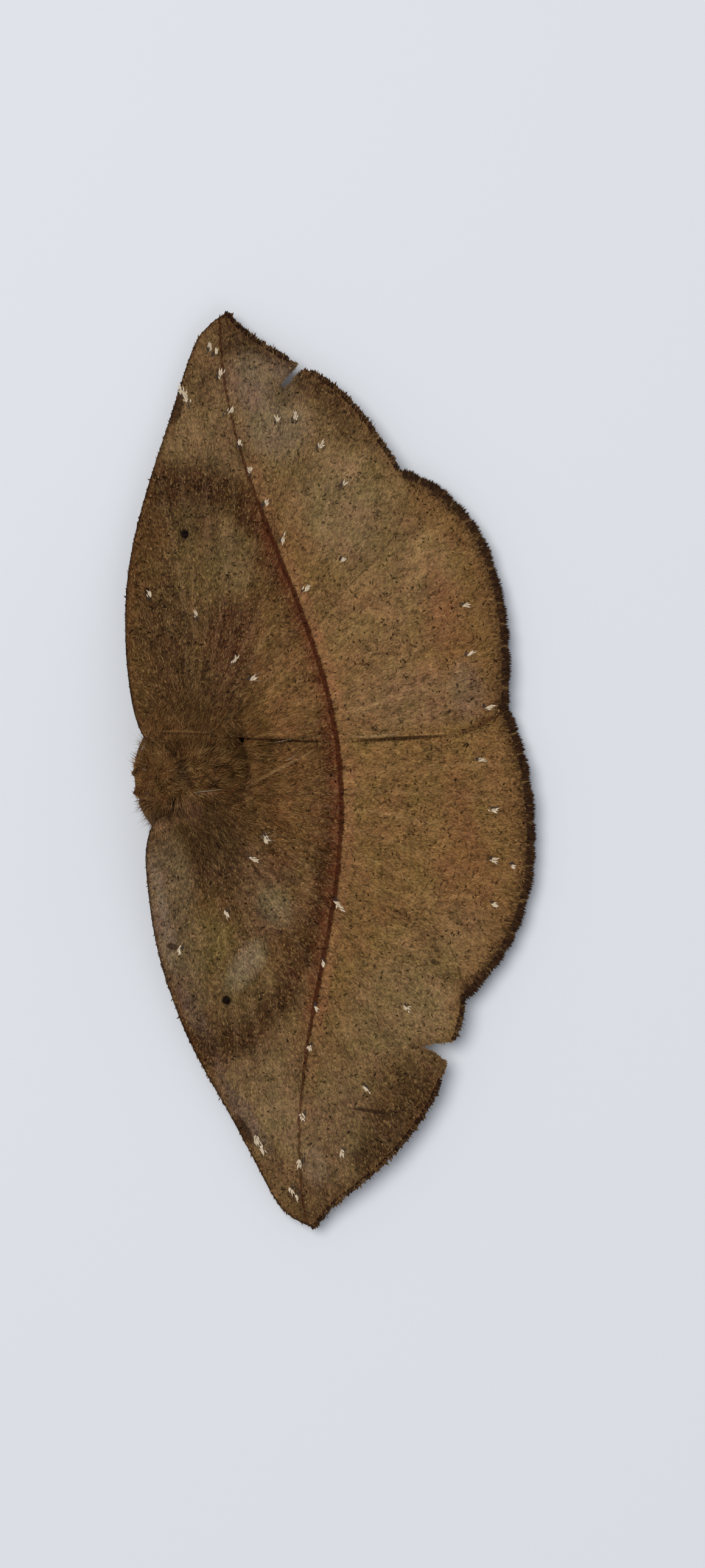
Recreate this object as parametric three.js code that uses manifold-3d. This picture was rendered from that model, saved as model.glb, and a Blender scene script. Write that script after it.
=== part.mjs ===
// A leaf-mimic geometer moth at rest, wings spread flat over its body, at life size.
// Millimetres, +Z up. The head looks along -Y, so the moth's left side is +X.
// While the pieces are shaped, Y is counted back from the front of the head. The finished
// group is then moved so that its origin is the middle of the rectangle it stands on.

import * as THREE from 'three';
import { mergeVertices } from 'three/addons/utils/BufferGeometryUtils.js';
import Module from 'manifold-3d';

const wasm = await Module();
wasm.setup();

// ---------------------------------------------------------------- driving dimensions

const clearance = 0.2;         // air between two neighbouring pieces
const wingThickness = 0.5;
const wingLayerGap = 0.2;      // air between a forewing and the hindwing below it

const roofRidge = 4.8;         // height of the wing roof over the body
const roofEave = 1.15;         // height that it sinks to far out
const roofSpread = 11;         // distance from the body at which half of the drop is done
const roofFallStart = 12;      // behind this the roof also sinks towards the hind margin
const roofFallEnd = 27;
const roofFallShare = 0.85;

const costaDroop = 0.6;        // the front edge of a forewing rolls down
const costaDroopShare = 0.2;   // share of the chord that rolls

// Behind the thorax the right hindwing lies on the left one: one lifts and the other sinks.
const overlap = { rise: 0.15, dip: 0.6, from: 1.4, to: -0.9, fadeAcross: [3.6, 6.0], fadeBack: [6.2, 7.2] };

const forewingSteps = { span: 18, chord: 12 };
const hindwingSteps = { span: 12, chord: 16 };

const thorax = { centre: [0, 3.85, 3.2], half: [2.65, 3.2, 2.35], power: 2.5, blunt: 3.4 };
const head = { centre: [0, 1.22, 2.95], half: [1.7, 1.45, 1.45], power: 2.2, blunt: 2.2 };
const eye = { across: 1.3, back: 0.86, height: 2.8, radius: 0.8 };
const abdomen = { start: 6.7, end: 19.6, startHeight: 1.95, endHeight: 1.0, segments: 7, radius: 1.45 };
const antenna = { radius: 0.27, tipRadius: 0.25, steps: 24, sides: 6 };
const palp = { radius: 0.3, tipRadius: 0.26, steps: 6, sides: 7 };
const leg = { radii: [0.42, 0.4, 0.29, 0.27, 0.26], footLength: 0.9, steps: 18, sides: 8, tension: 0.25 };

const brown = { colour: 0x6f5b3c, roughness: 0.85 };
const darkBrown = { colour: 0x4d3d2a, roughness: 0.85 };
const eyeBlack = { colour: 0x17110d, roughness: 0.25 };

// Outlines, as [distance out from the midline, distance back from the front of the head].
// Each wing has four edges that share their corners: base, costa (front edge), termen
// (outer margin) and inner margin.

const forewingLeft = {
  base: [[2.7, 0.85], [2.2, 2.2], [1.9, 4.0], [1.6, 6.2]],
  costa: [[2.7, 0.85], [4.0, 0.28], [6.5, 0.14], [9.9, 0.35], [13.4, 1.05], [17.2, 2.1], [21.5, 3.95],
    [24.7, 5.3], [28.75, 7.0], [30.1, 8.6]],
  termen: [[30.1, 8.6], [28.6, 10.1], [27.2, 12.35], [25.7, 14.3], [24.1, 15.9], [22.0, 17.5],
    [20.0, 18.4], [18.4, 19.2], [16.2, 20.0]],
  inner: [[1.6, 6.2], [3.6, 8.9], [6.1, 12.5], [8.3, 15.1], [10.4, 17.7], [12.9, 19.4], [16.2, 20.0]],
};

const forewingRight = {
  base: [[2.7, 0.85], [2.2, 2.2], [1.9, 4.0], [1.6, 6.2]],
  costa: [[2.7, 0.85], [4.4, 0.35], [6.5, 0.2], [8.8, 0.25], [12.8, 0.84], [16.4, 1.8], [19.9, 3.15],
    [23.7, 4.8], [27.4, 6.35], [29.2, 7.45], [30.1, 8.66]],
  termen: [[30.1, 8.66], [28.7, 9.8], [27.4, 11.3], [26.2, 13.0], [24.8, 15.0], [22.6, 16.9],
    [20.4, 18.1], [19.0, 18.9], [17.4, 19.4]],
  inner: [[1.6, 6.2], [4.6, 7.4], [7.2, 9.7], [8.7, 12.4], [11.3, 14.9], [13.2, 17.2], [15.3, 18.8],
    [17.4, 19.4]],
};

const hindwingLeft = {
  base: [[2.2, 4.8], [1.4, 6.4]],
  costa: [[2.2, 4.8], [9.5, 9.0], [15.5, 14.0], [17.3, 17.3]],
  termen: [[17.3, 17.3], [16.4, 19.8], [14.2, 22.2], [12.2, 23.7], [9.3, 24.95], [6.2, 25.5],
    [2.6, 25.6], [-0.3, 25.25], [-3.3, 24.5]],
  inner: [[1.4, 6.4], [-0.8, 6.8], [-2.7, 7.6], [-3.1, 9.6], [-3.2, 14.0], [-3.5, 20.0], [-3.3, 24.5]],
};

const hindwingRight = {
  base: [[2.2, 4.8], [2.3, 6.5]],
  costa: [[2.2, 4.8], [10.0, 8.8], [16.6, 13.6], [18.9, 17.4]],
  termen: [[18.9, 17.4], [18.7, 19.4], [17.2, 21.7], [14.9, 23.5], [12.4, 24.5], [9.3, 25.0],
    [6.0, 25.0], [2.3, 24.6]],
  inner: [[2.3, 6.5], [2.0, 9.6], [1.45, 13.4], [1.2, 18.7], [1.15, 22.0], [2.3, 24.6]],
};

// Tears in the forewings' outer margins: a slit with a round end, and a wedge that runs out in a crack.
const slitRight = { mouth: [26.6, 13.9], end: [24.75, 11.95], width: 0.45 };
const wedgeLeft = [[21.0, 18.9], [19.9, 18.2], [19.25, 17.5], [18.75, 16.6], [18.65, 17.6], [18.75, 18.8],
  [18.2, 20.3]];

// Legs, as [across, back, height]: hip, knee, ankle and the start of the foot. The fore pair is
// tucked sideways, the middle pair braced outwards and the hind pair trails back.
const legRoutes = {
  foreleg: [[1.0, 2.4, 1.9], [4.0, 2.2, 2.45], [5.9, 1.9, 1.0], [7.2, 1.6, 0.24]],
  midleg: [[1.3, 4.3, 1.8], [5.0, 5.3, 2.5], [8.0, 6.7, 0.95], [10.2, 7.7, 0.24]],
  hindleg: [[1.2, 6.0, 1.8], [4.2, 9.4, 2.4], [6.4, 13.2, 0.85], [7.6, 15.6, 0.24]],
};

const antennaRoute = [[0.6, 0.95, 3.9], [1.2, 0.28, 3.65], [2.05, 0.45, 3.15], [3.1, 0.98, 2.9], [5.0, 1.75, 2.8],
  [7.5, 3.1, 2.7], [9.9, 4.8, 2.5], [12.0, 6.9, 2.2]];
const palpRoute = [[0.48, 1.7, 0.95], [0.48, 0.9, 0.95], [0.45, 0.3, 1.25], [0.42, 0.02, 1.75]];

// ---------------------------------------------------------------- closed solids

function toSolid(geometry) {
  const bare = geometry.clone();
  bare.deleteAttribute('normal');
  bare.deleteAttribute('uv');
  const merged = mergeVertices(bare, 1e-5);
  const mesh = new wasm.Mesh({
    numProp: 3,
    vertProperties: Float32Array.from(merged.attributes.position.array),
    triVerts: Uint32Array.from(merged.index.array),
  });
  return new wasm.Manifold(mesh);
}

function toGeometry(solid) {
  const mesh = solid.getMesh();
  const geometry = new THREE.BufferGeometry();
  geometry.setAttribute('position', new THREE.BufferAttribute(mesh.vertProperties, 3));
  geometry.setIndex(new THREE.BufferAttribute(mesh.triVerts, 1));
  geometry.computeVertexNormals();
  return geometry;
}

function reshape(geometry, move) {
  const position = geometry.attributes.position;
  const point = new THREE.Vector3();
  for (let i = 0; i < position.count; i += 1) {
    point.fromBufferAttribute(position, i);
    move(point);
    position.setXYZ(i, point.x, point.y, point.z);
  }
  return geometry;
}

const { smoothstep: smoothStep, lerp } = THREE.MathUtils;
const softBend = 0.5;          // Catmull-Rom tension of a rod that curves evenly

// How far a direction has to be stretched to take a circle to a rounder square.
function stretchToSquare(value, other, power) {
  const length = Math.hypot(value, other);
  const rounder = (Math.abs(value) ** power + Math.abs(other) ** power) ** (1 / power);
  return length > 1e-9 ? length / rounder : 1;
}

// An egg with its poles on the Y axis: power squares its section, and blunt squares its ends.
// grow adds the same to every half width.
function egg({ centre, half, power, blunt }, grow = 0, around = 18, along = 12) {
  const geometry = new THREE.SphereGeometry(1, around, along);
  geometry.rotateX(Math.PI / 2);
  return reshape(geometry, (point) => {
    const girth = Math.hypot(point.x, point.z);
    const end = stretchToSquare(girth, point.y, blunt);
    const swell = end * stretchToSquare(point.x, point.z, power);
    point.x = centre[0] + point.x * swell * (half[0] + grow);
    point.y = centre[1] + point.y * end * (half[1] + grow);
    point.z = centre[2] + point.z * swell * (half[2] + grow);
  });
}

// A round rod through the points of a route, with a radius for each point.
function taperedRod(points, radii, steps, sides, tension) {
  const route = new THREE.CatmullRomCurve3(points, false, 'catmullrom', tension);
  const section = new THREE.Shape();
  for (let i = 0; i < sides; i += 1) {
    const angle = (i / sides) * 2 * Math.PI;
    const corner = [Math.cos(angle), Math.sin(angle)];
    if (i === 0) section.moveTo(...corner);
    else section.lineTo(...corner);
  }
  const geometry = new THREE.ExtrudeGeometry(section, { steps, extrudePath: route, bevelEnabled: false });
  const rings = route.getSpacedPoints(steps);
  return reshape(geometry, (point) => {
    let nearest = 0;
    rings.forEach((ring, i) => {
      if (ring.distanceToSquared(point) < rings[nearest].distanceToSquared(point)) nearest = i;
    });
    const stretch = route.getUtoTmapping(nearest / steps) * (points.length - 1);
    const from = Math.min(Math.floor(stretch), points.length - 2);
    const size = lerp(radii[from], radii[from + 1], stretch - from);
    point.sub(rings[nearest]).setLength(size).add(rings[nearest]);
  });
}

// ---------------------------------------------------------------- wings

// Height of the surface where fore- and hindwings meet.
function roofHeight(across, back) {
  const spread = 1 / (1 + (across / roofSpread) ** 2);
  const fall = 1 - roofFallShare * smoothStep(back, roofFallStart, roofFallEnd);
  return roofEave + (roofRidge - roofEave) * spread * fall;
}

function edgeCurve(points) {
  return new THREE.SplineCurve(points.map(([across, back]) => new THREE.Vector2(across, back)));
}

// A box folded onto the four edges of a wing. side is 1 on the left and -1 on the right.
function wingGeometry(outline, side, layer, steps) {
  const base = edgeCurve(outline.base);
  const costa = edgeCurve(outline.costa);
  const termen = edgeCurve(outline.termen);
  const inner = edgeCurve(outline.inner);
  const corners = [costa.getPoint(0), costa.getPoint(1), inner.getPoint(0), inner.getPoint(1)];
  const geometry = new THREE.BoxGeometry(1, 1, 1, steps.span, steps.chord, 1);
  return reshape(geometry, (point) => {
    const out = point.x + 0.5;
    const chord = 0.5 + side * point.y;
    const alongSpan = costa.getPointAt(out).lerp(inner.getPointAt(out), chord);
    const alongChord = base.getPointAt(chord).lerp(termen.getPointAt(chord), out);
    const front = corners[0].clone().lerp(corners[1], out);
    const rear = corners[2].clone().lerp(corners[3], out);
    const place = alongSpan.add(alongChord).sub(front.lerp(rear, chord));
    const height = layer(place.x, place.y, chord) + point.z * wingThickness;
    point.set(side * place.x, place.y, height);
  });
}

function forewingLayer(across, back, chord) {
  const roll = Math.max(0, 1 - chord / costaDroopShare);
  const lift = (wingThickness + wingLayerGap) / 2;
  return roofHeight(across, back) + lift - costaDroop * roll ** 2;
}

// across counts outwards on either side, so the place of the overlap is turned by side.
function hindwingLayer(side, move) {
  return (across, back) => {
    const inOverlap = 1 - smoothStep(side * across, overlap.to, overlap.from);
    const nearBody = 1 - smoothStep(Math.abs(across), ...overlap.fadeAcross);
    const behind = smoothStep(back, ...overlap.fadeBack);
    const drop = (wingThickness + wingLayerGap) / 2;
    return roofHeight(across, back) - drop + move * inOverlap * nearBody * behind;
  };
}

// A prism that stands through a wing, for cutting it.
function cutter(outline, side) {
  const shape = new THREE.Shape(outline.map(([across, back]) => new THREE.Vector2(side * across, back)));
  return toSolid(new THREE.ExtrudeGeometry(shape, { depth: 2 * roofRidge, bevelEnabled: false }));
}

function slitOutline({ mouth, end, width }) {
  const along = Math.atan2(end[1] - mouth[1], end[0] - mouth[0]);
  const outline = [];
  [[mouth, Math.PI / 2], [mouth, -Math.PI / 2], [end, -Math.PI / 2], [end, 0], [end, Math.PI / 2]].forEach(
    ([centre, turn]) => {
      const x = centre[0] + (width / 2) * Math.cos(along + turn);
      outline.push([x, centre[1] + (width / 2) * Math.sin(along + turn)]);
    },
  );
  return outline;
}

// ---------------------------------------------------------------- body

const thoraxSolid = toSolid(egg(thorax));
const thoraxRoom = toSolid(egg(thorax, clearance));
const headSolid = toSolid(egg(head, 0, 16, 11));
const headRoom = toSolid(egg(head, clearance, 16, 11));

function eyeSphere(side, grow) {
  const sphere = new THREE.SphereGeometry(eye.radius + grow, 12, 8);
  return toSolid(sphere.translate(side * eye.across, eye.back, eye.height));
}

// The abdomen is a row of rings that overlap backwards like tiles, drawn as a lathe profile.
function abdomenSolid(grow) {
  const profile = [new THREE.Vector2(0, 0)];
  const stepsPerRing = 3;
  const count = abdomen.segments * stepsPerRing;
  for (let i = 0; i < count; i += 1) {
    const along = (i + 0.4) / count;
    const body = Math.sin(Math.PI * along ** 0.62) ** 0.55;
    const tile = 1 + 0.035 * ((i % stepsPerRing) / (stepsPerRing - 1) - 0.5);
    profile.push(new THREE.Vector2(abdomen.radius * body * tile + grow, along));
  }
  profile.push(new THREE.Vector2(0, 1));
  const geometry = new THREE.LatheGeometry(profile, 16);
  geometry.rotateX(Math.PI / 2);
  const length = abdomen.end - abdomen.start + 2 * grow;
  return toSolid(reshape(geometry, (point) => {
    const along = point.z;
    const lift = lerp(abdomen.startHeight, abdomen.endHeight, along ** 2);
    point.set(-point.x, abdomen.start - grow + along * length, lift + point.y);
  }));
}

function legSolid(points) {
  const toe = points[3].clone().sub(points[2]).setZ(0).setLength(leg.footLength).add(points[3]);
  const rod = taperedRod([...points, toe], leg.radii, leg.steps, leg.sides, leg.tension);
  const ground = new THREE.BoxGeometry(100, 100, 2).translate(0, 0, -1);
  return toSolid(rod).subtract(toSolid(ground)).subtract(thoraxRoom);
}

// ---------------------------------------------------------------- the moth

const moth = new THREE.Group();

function addPiece(name, solid, finish) {
  const material = new THREE.MeshStandardMaterial({
    color: finish.colour,
    roughness: finish.roughness,
    metalness: 0,
  });
  const mesh = new THREE.Mesh(toGeometry(solid), material);
  mesh.name = name;
  moth.add(mesh);
}

const abdomenRoom = abdomenSolid(clearance);
const eyeRooms = eyeSphere(1, clearance).add(eyeSphere(-1, clearance));

addPiece('head', headSolid.subtract(eyeRooms), brown);
addPiece('thorax', thoraxSolid.subtract(headRoom).subtract(eyeRooms).subtract(abdomenRoom), brown);
addPiece('abdomen', abdomenSolid(0), brown);

const sides = { left: 1, right: -1 };
const wings = {
  left: { forewing: forewingLeft, hindwing: hindwingLeft, move: -overlap.dip },
  right: { forewing: forewingRight, hindwing: hindwingRight, move: overlap.rise },
};
const tears = {
  left: cutter(wedgeLeft, 1),
  right: cutter(slitOutline(slitRight), -1),
};

Object.entries(sides).forEach(([sideName, side]) => {
  const wing = wings[sideName];
  const forewing = toSolid(wingGeometry(wing.forewing, side, forewingLayer, forewingSteps));
  const hindwingHeight = hindwingLayer(side, wing.move);
  const hindwing = toSolid(wingGeometry(wing.hindwing, side, hindwingHeight, hindwingSteps));
  addPiece(`forewing_${sideName}`, forewing.subtract(thoraxRoom).subtract(tears[sideName]), brown);
  addPiece(`hindwing_${sideName}`, hindwing.subtract(thoraxRoom), brown);
  addPiece(`eye_${sideName}`, eyeSphere(side, 0), eyeBlack);

  const place = ([across, back, height]) => new THREE.Vector3(side * across, back, height);
  const feeler = taperedRod(
    antennaRoute.map(place),
    antennaRoute.map((point, i) => lerp(antenna.radius, antenna.tipRadius, i / (antennaRoute.length - 1))),
    antenna.steps,
    antenna.sides,
    softBend,
  );
  const shaft = toSolid(feeler).subtract(headRoom).subtract(eyeRooms).subtract(thoraxRoom);
  addPiece(`antenna_${sideName}`, shaft, darkBrown);
  const palpRod = taperedRod(
    palpRoute.map(place),
    palpRoute.map((point, i) => lerp(palp.radius, palp.tipRadius, i / (palpRoute.length - 1))),
    palp.steps,
    palp.sides,
    softBend,
  );
  addPiece(`palp_${sideName}`, toSolid(palpRod).subtract(headRoom).subtract(thoraxRoom), brown);

  Object.entries(legRoutes).forEach(([legName, route]) => {
    addPiece(`${legName}_${sideName}`, legSolid(route.map(place)), darkBrown);
  });
});

const box = new THREE.Box3().setFromObject(moth);
const middle = box.getCenter(new THREE.Vector3());
moth.position.set(-middle.x, -middle.y, -box.min.z);

export default moth;
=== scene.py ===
from math import cos, pi, radians, sin

import bpy
import numpy as np
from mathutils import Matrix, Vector


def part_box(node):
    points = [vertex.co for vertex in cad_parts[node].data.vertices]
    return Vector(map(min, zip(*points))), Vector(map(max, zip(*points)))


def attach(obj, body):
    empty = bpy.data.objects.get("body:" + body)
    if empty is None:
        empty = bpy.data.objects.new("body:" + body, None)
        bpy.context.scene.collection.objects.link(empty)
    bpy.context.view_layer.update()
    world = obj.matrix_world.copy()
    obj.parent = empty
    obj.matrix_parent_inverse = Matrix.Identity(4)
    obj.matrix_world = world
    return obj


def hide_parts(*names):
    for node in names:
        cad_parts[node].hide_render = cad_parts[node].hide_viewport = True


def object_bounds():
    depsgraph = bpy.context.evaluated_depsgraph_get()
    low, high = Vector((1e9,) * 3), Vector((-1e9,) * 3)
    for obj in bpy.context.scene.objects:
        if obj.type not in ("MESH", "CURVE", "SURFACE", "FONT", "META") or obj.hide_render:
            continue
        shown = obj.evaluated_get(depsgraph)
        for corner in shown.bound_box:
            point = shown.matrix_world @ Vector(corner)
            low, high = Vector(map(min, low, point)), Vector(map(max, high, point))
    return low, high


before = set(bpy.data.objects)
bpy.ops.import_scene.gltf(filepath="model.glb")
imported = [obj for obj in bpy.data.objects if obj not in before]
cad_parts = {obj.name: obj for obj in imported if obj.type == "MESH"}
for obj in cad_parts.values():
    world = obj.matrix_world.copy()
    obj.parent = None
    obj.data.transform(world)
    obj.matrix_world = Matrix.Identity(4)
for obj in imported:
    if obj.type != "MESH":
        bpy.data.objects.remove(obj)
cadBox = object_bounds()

mm = 0.001
rng = np.random.default_rng(20)
mergeGap = 0.002       # points nearer than this in a solid are one
farFromMargin = 9.0    # the margin value of what has no dark fringe

# Places are told as (across, back, height) in millimetres: across is + on the moth's left,
# back is counted from the front of the head, and height from the floor.
eyeLow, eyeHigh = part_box("eye_left")
headFront = (eyeLow.y + eyeHigh.y) / 2 - 0.86 * mm


def place(across, back, height):
    return Vector((across * mm, headFront + back * mm, height * mm))


def toMoth(points):
    return (np.asarray(points) - (0, headFront, 0)) / mm


def smoothStep(value, low, high):
    t = np.clip((value - low) / (high - low), 0, 1)
    return t * t * (3 - 2 * t)


def inRange(values, low, high):
    return (values >= low) & (values < high)


# Small helpers for objects.

def deselectAll():
    if bpy.context.object and bpy.context.object.mode != "OBJECT":
        bpy.ops.object.mode_set(mode="OBJECT")
    bpy.ops.object.select_all(action="DESELECT")


def pick(*pieces):
    deselectAll()
    for piece in pieces:
        piece.select_set(True)
    bpy.context.view_layer.objects.active = pieces[0]


def applyModifier(piece, kind, **settings):
    pick(piece)
    modifier = piece.modifiers.new(kind.title(), kind)
    for key, value in settings.items():
        setattr(modifier, key, value)
    bpy.ops.object.modifier_apply(modifier=modifier.name)


def editWhole(piece, *operators):
    # runs the operators on all of the mesh in edit mode
    pick(piece)
    bpy.ops.object.mode_set(mode="EDIT")
    bpy.ops.mesh.select_all(action="SELECT")
    for operator in operators:
        operator()
    bpy.ops.object.mode_set(mode="OBJECT")


def selectFaces(piece, test):
    # goes into edit mode with these faces selected
    pick(piece)
    bpy.ops.object.mode_set(mode="EDIT")
    bpy.ops.mesh.select_mode(type="FACE")
    bpy.ops.mesh.select_all(action="DESELECT")
    bpy.ops.object.mode_set(mode="OBJECT")
    for face in piece.data.polygons:
        face.select = test(face)
    bpy.ops.object.mode_set(mode="EDIT")


def copyOfNode(node, name):
    # the node's shape as a new piece, with its loose triangles merged
    piece = bpy.data.objects.new(name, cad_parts[node].data.copy())
    piece.data.name = name
    piece.data.materials.clear()
    bpy.context.scene.collection.objects.link(piece)
    pick(piece)
    if piece.data.has_custom_normals:
        bpy.ops.mesh.customdata_custom_splitnormals_clear()
    editWhole(piece, lambda: bpy.ops.mesh.remove_doubles(threshold=mergeGap * mm))
    return piece


def join(pieces, name):
    pick(*pieces)
    if len(pieces) > 1:
        bpy.ops.object.join()
    piece = bpy.context.object
    piece.name = name
    piece.data.name = name
    return piece


def readAll(items, key, size=1, kind=np.float32):
    values = np.empty(len(items) * size, kind)
    items.foreach_get(key, values)
    return values.reshape(-1, size) if size > 1 else values


def pointsOf(mesh):
    return readAll(mesh.vertices, "co", 3).astype(float)


def setPoints(mesh, points):
    mesh.vertices.foreach_set("co", np.ascontiguousarray(points, np.float32).ravel())
    mesh.update()


def addAttribute(mesh, name, values, kind="FLOAT"):
    attribute = mesh.attributes.new(name, kind, "POINT")
    key = "vector" if kind == "FLOAT_VECTOR" else "value"
    attribute.data.foreach_set(key, np.ascontiguousarray(values, np.float32).ravel())


def addPlainAttributes(mesh):
    # for a piece without margins and veins
    addAttribute(mesh, "margin", np.full(len(mesh.vertices), farFromMargin))
    addAttribute(mesh, "vein", np.zeros(len(mesh.vertices)))


def readAttribute(mesh, name):
    return readAll(mesh.attributes[name].data, "value").astype(float)


def finishPiece(piece, material, slot, *nodes):
    piece.data.materials.clear()
    piece.data.materials.append(material)
    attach(piece, "root")
    if nodes:
        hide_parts(*nodes)


class Reading:  # a socket whose arithmetic adds Math nodes
    def __init__(self, finish, socket):
        self.finish = finish
        self.socket = socket

    def __add__(self, other):
        return self.finish.math("ADD", self, other)

    def __sub__(self, other):
        return self.finish.math("SUBTRACT", self, other)

    def __rsub__(self, other):
        return self.finish.math("SUBTRACT", other, self)

    def __mul__(self, other):
        return self.finish.math("MULTIPLY", self, other)

    def __truediv__(self, other):
        return self.finish.math("DIVIDE", self, other)

    __radd__ = __add__
    __rmul__ = __mul__


class Finish:
    def __init__(self, name):
        self.material = bpy.data.materials.new(name)
        self.material.use_nodes = True
        self.tree = self.material.node_tree
        self.tree.nodes.clear()

    def node(self, kind, settings=None, sockets=None):
        node = self.tree.nodes.new(kind)
        for key, value in (settings or {}).items():
            setattr(node, key, value)
        for key, value in (sockets or {}).items():
            if isinstance(value, Reading):
                value = value.socket
            if isinstance(value, bpy.types.NodeSocket):
                self.tree.links.new(value, node.inputs[key])
            else:
                node.inputs[key].default_value = value
        return node

    def math(self, operation, *terms):
        node = self.node("ShaderNodeMath", {"operation": operation}, dict(enumerate(terms)))
        return Reading(self, node.outputs[0])

    def vector(self, operation, *terms):
        node = self.node("ShaderNodeVectorMath", {"operation": operation}, dict(enumerate(terms)))
        return node.outputs[0]

    def scaled(self, vector, factor):
        node = self.node("ShaderNodeVectorMath", {"operation": "SCALE"}, {0: vector, "Scale": factor})
        return node.outputs[0]

    def tinted(self, colour, tint):
        return self.vector("MULTIPLY", colour, tint)

    def parts(self, vector):
        node = self.node("ShaderNodeSeparateXYZ", None, {0: vector})
        return [Reading(self, output) for output in node.outputs]

    def together(self, x, y, z=0.0):
        return self.node("ShaderNodeCombineXYZ", None, {0: x, 1: y, 2: z}).outputs[0]

    def step(self, value, low, high):
        # 0 at low, 1 at high and smooth between
        node = self.node("ShaderNodeMapRange", {"interpolation_type": "SMOOTHSTEP"}, {
            "Value": value, "From Min": low, "From Max": high})
        return Reading(self, node.outputs[0])

    def mix(self, factor, first, second):
        node = self.node("ShaderNodeMix", {"data_type": "RGBA", "clamp_factor": True}, {
            0: factor, 6: self.colour(first), 7: self.colour(second)})
        return node.outputs[2]

    def colour(self, value):
        return (*value, 1.0) if isinstance(value, tuple) and len(value) == 3 else value

    def noise(self, where, scale, detail=2.0, roughness=0.5, flat=True):
        node = self.node("ShaderNodeTexNoise", {"noise_dimensions": "2D" if flat else "3D"}, {
            "Vector": where, "Scale": scale, "Detail": detail, "Roughness": roughness})
        return Reading(self, node.outputs[0]), node.outputs[1]

    def attribute(self, name):
        node = self.node("ShaderNodeAttribute", {"attribute_name": name})
        return Reading(self, node.outputs["Fac"]), node.outputs["Vector"]

    def objectPlace(self):
        return self.node("ShaderNodeTexCoord").outputs["Object"]

    def placeInMm(self):
        return self.vector("MULTIPLY", self.objectPlace(), (1 / mm, 1 / mm, 1 / mm))

    def patch(self, plane, centre, reach, turn=0.0, core=0.35):
        # a soft oval spot: 1 in its core and 0 at its reach
        moved = self.node("ShaderNodeMapping", {"vector_type": "TEXTURE"}, {
            "Vector": plane, "Location": (*centre, 0), "Rotation": (0, 0, radians(turn)),
            "Scale": (*reach, 1)}).outputs[0]
        ball = self.node("ShaderNodeTexGradient", {"gradient_type": "SPHERICAL"}, {"Vector": moved})
        return self.step(Reading(self, ball.outputs[1]), 0.0, 1 - core)

    def shader(self, colour, roughness, normal=None, **constants):
        sockets = {"Base Color": colour, "Roughness": roughness}
        if normal:
            sockets["Normal"] = normal
        sockets.update({key.replace("_", " "): value for key, value in constants.items()})
        body = self.node("ShaderNodeBsdfPrincipled", None, sockets)
        self.node("ShaderNodeOutputMaterial", None, {"Surface": body.outputs[0]})
        return self.material

    def bump(self, height, distance, strength=1.0):
        return self.node("ShaderNodeBump", None, {
            "Height": height, "Distance": distance, "Strength": strength}).outputs[0]


def seen(red, green, blue):
    # a colour as the eye sees it under the studio light, out of 255, as a reflectance
    levels = zip(markings["paintGain"], (red, green, blue))
    return tuple(gain * ((level / 255 + 0.055) / 1.055) ** 2.4 for gain, level in levels)


# The markings that skin and scales share.
markings = {
    "paintGain": (1.23, 1.115, 0.99),
    "lineMiddle": 10.55,       # the dark cross line: back = middle + bow * cos(pi * across / span)
    "lineBow": 2.55,
    "lineSpan": 27.0,
    "lineWidth": 0.11,
    "shadeCentre": (-0.75, 3.5),   # the dark shade is an oval round the body, a little askew
    "shadeReach": (18.4, 9.4),
    "shadeTilt": 0.045,
    "basal": (84, 60, 34),     # within the shade
    "costal": (112, 89, 61),   # beyond it, towards the wing's tip
    "outer": (119, 91, 56),
    "outerTip": (110, 88, 60),
    "line": (62, 29, 15),
    "lineEdge": (138, 97, 68),
    "insideLine": (88, 52, 31),
    "besideLine": (98, 53, 33),
    "shade": (58, 35, 19),
    "margin": (28, 14, 12),
    "warmMargin": (96, 64, 38),
    "vein": (136, 112, 88),
    "streak": (150, 132, 96),
    "fleck": (42, 30, 20),
    "fleckDensity": 1.9,       # cells in a millimetre
    "fanStreaks": 13.0,        # streaks for each radian round the hinge
    "underside": (132, 104, 72),
    "paleScale": (150, 124, 80),
}

# Soft patches: (across, back), (reach across, reach back), turn, colour, strength.
# The first list is the same on both sides.
pairedPatches = [
    ((0.0, 3.6), (9.5, 6.5), 0, (62, 41, 23), 0.7),
    ((4.8, 4.6), (3.6, 3.0), 0, (48, 31, 17), 0.4),
    ((14.0, 6.0), (6.5, 4.0), 20, (102, 84, 55), 0.6),
    ((24.0, 10.6), (6.0, 3.6), -25, (116, 95, 72), 0.5),
    ((20.5, 6.0), (6.5, 3.4), 20, (112, 92, 68), 0.5),
    ((25.6, 14.6), (7.5, 2.8), -44, (62, 43, 26), 0.85),
    ((16.2, 15.6), (6.5, 5.0), -30, (122, 104, 74), 0.6),
    ((12.0, 19.6), (5.5, 4.5), 0, (120, 96, 64), 0.5),
    ((8.0, 20.6), (5.5, 2.8), 0, (122, 82, 52), 0.5),
]
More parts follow.
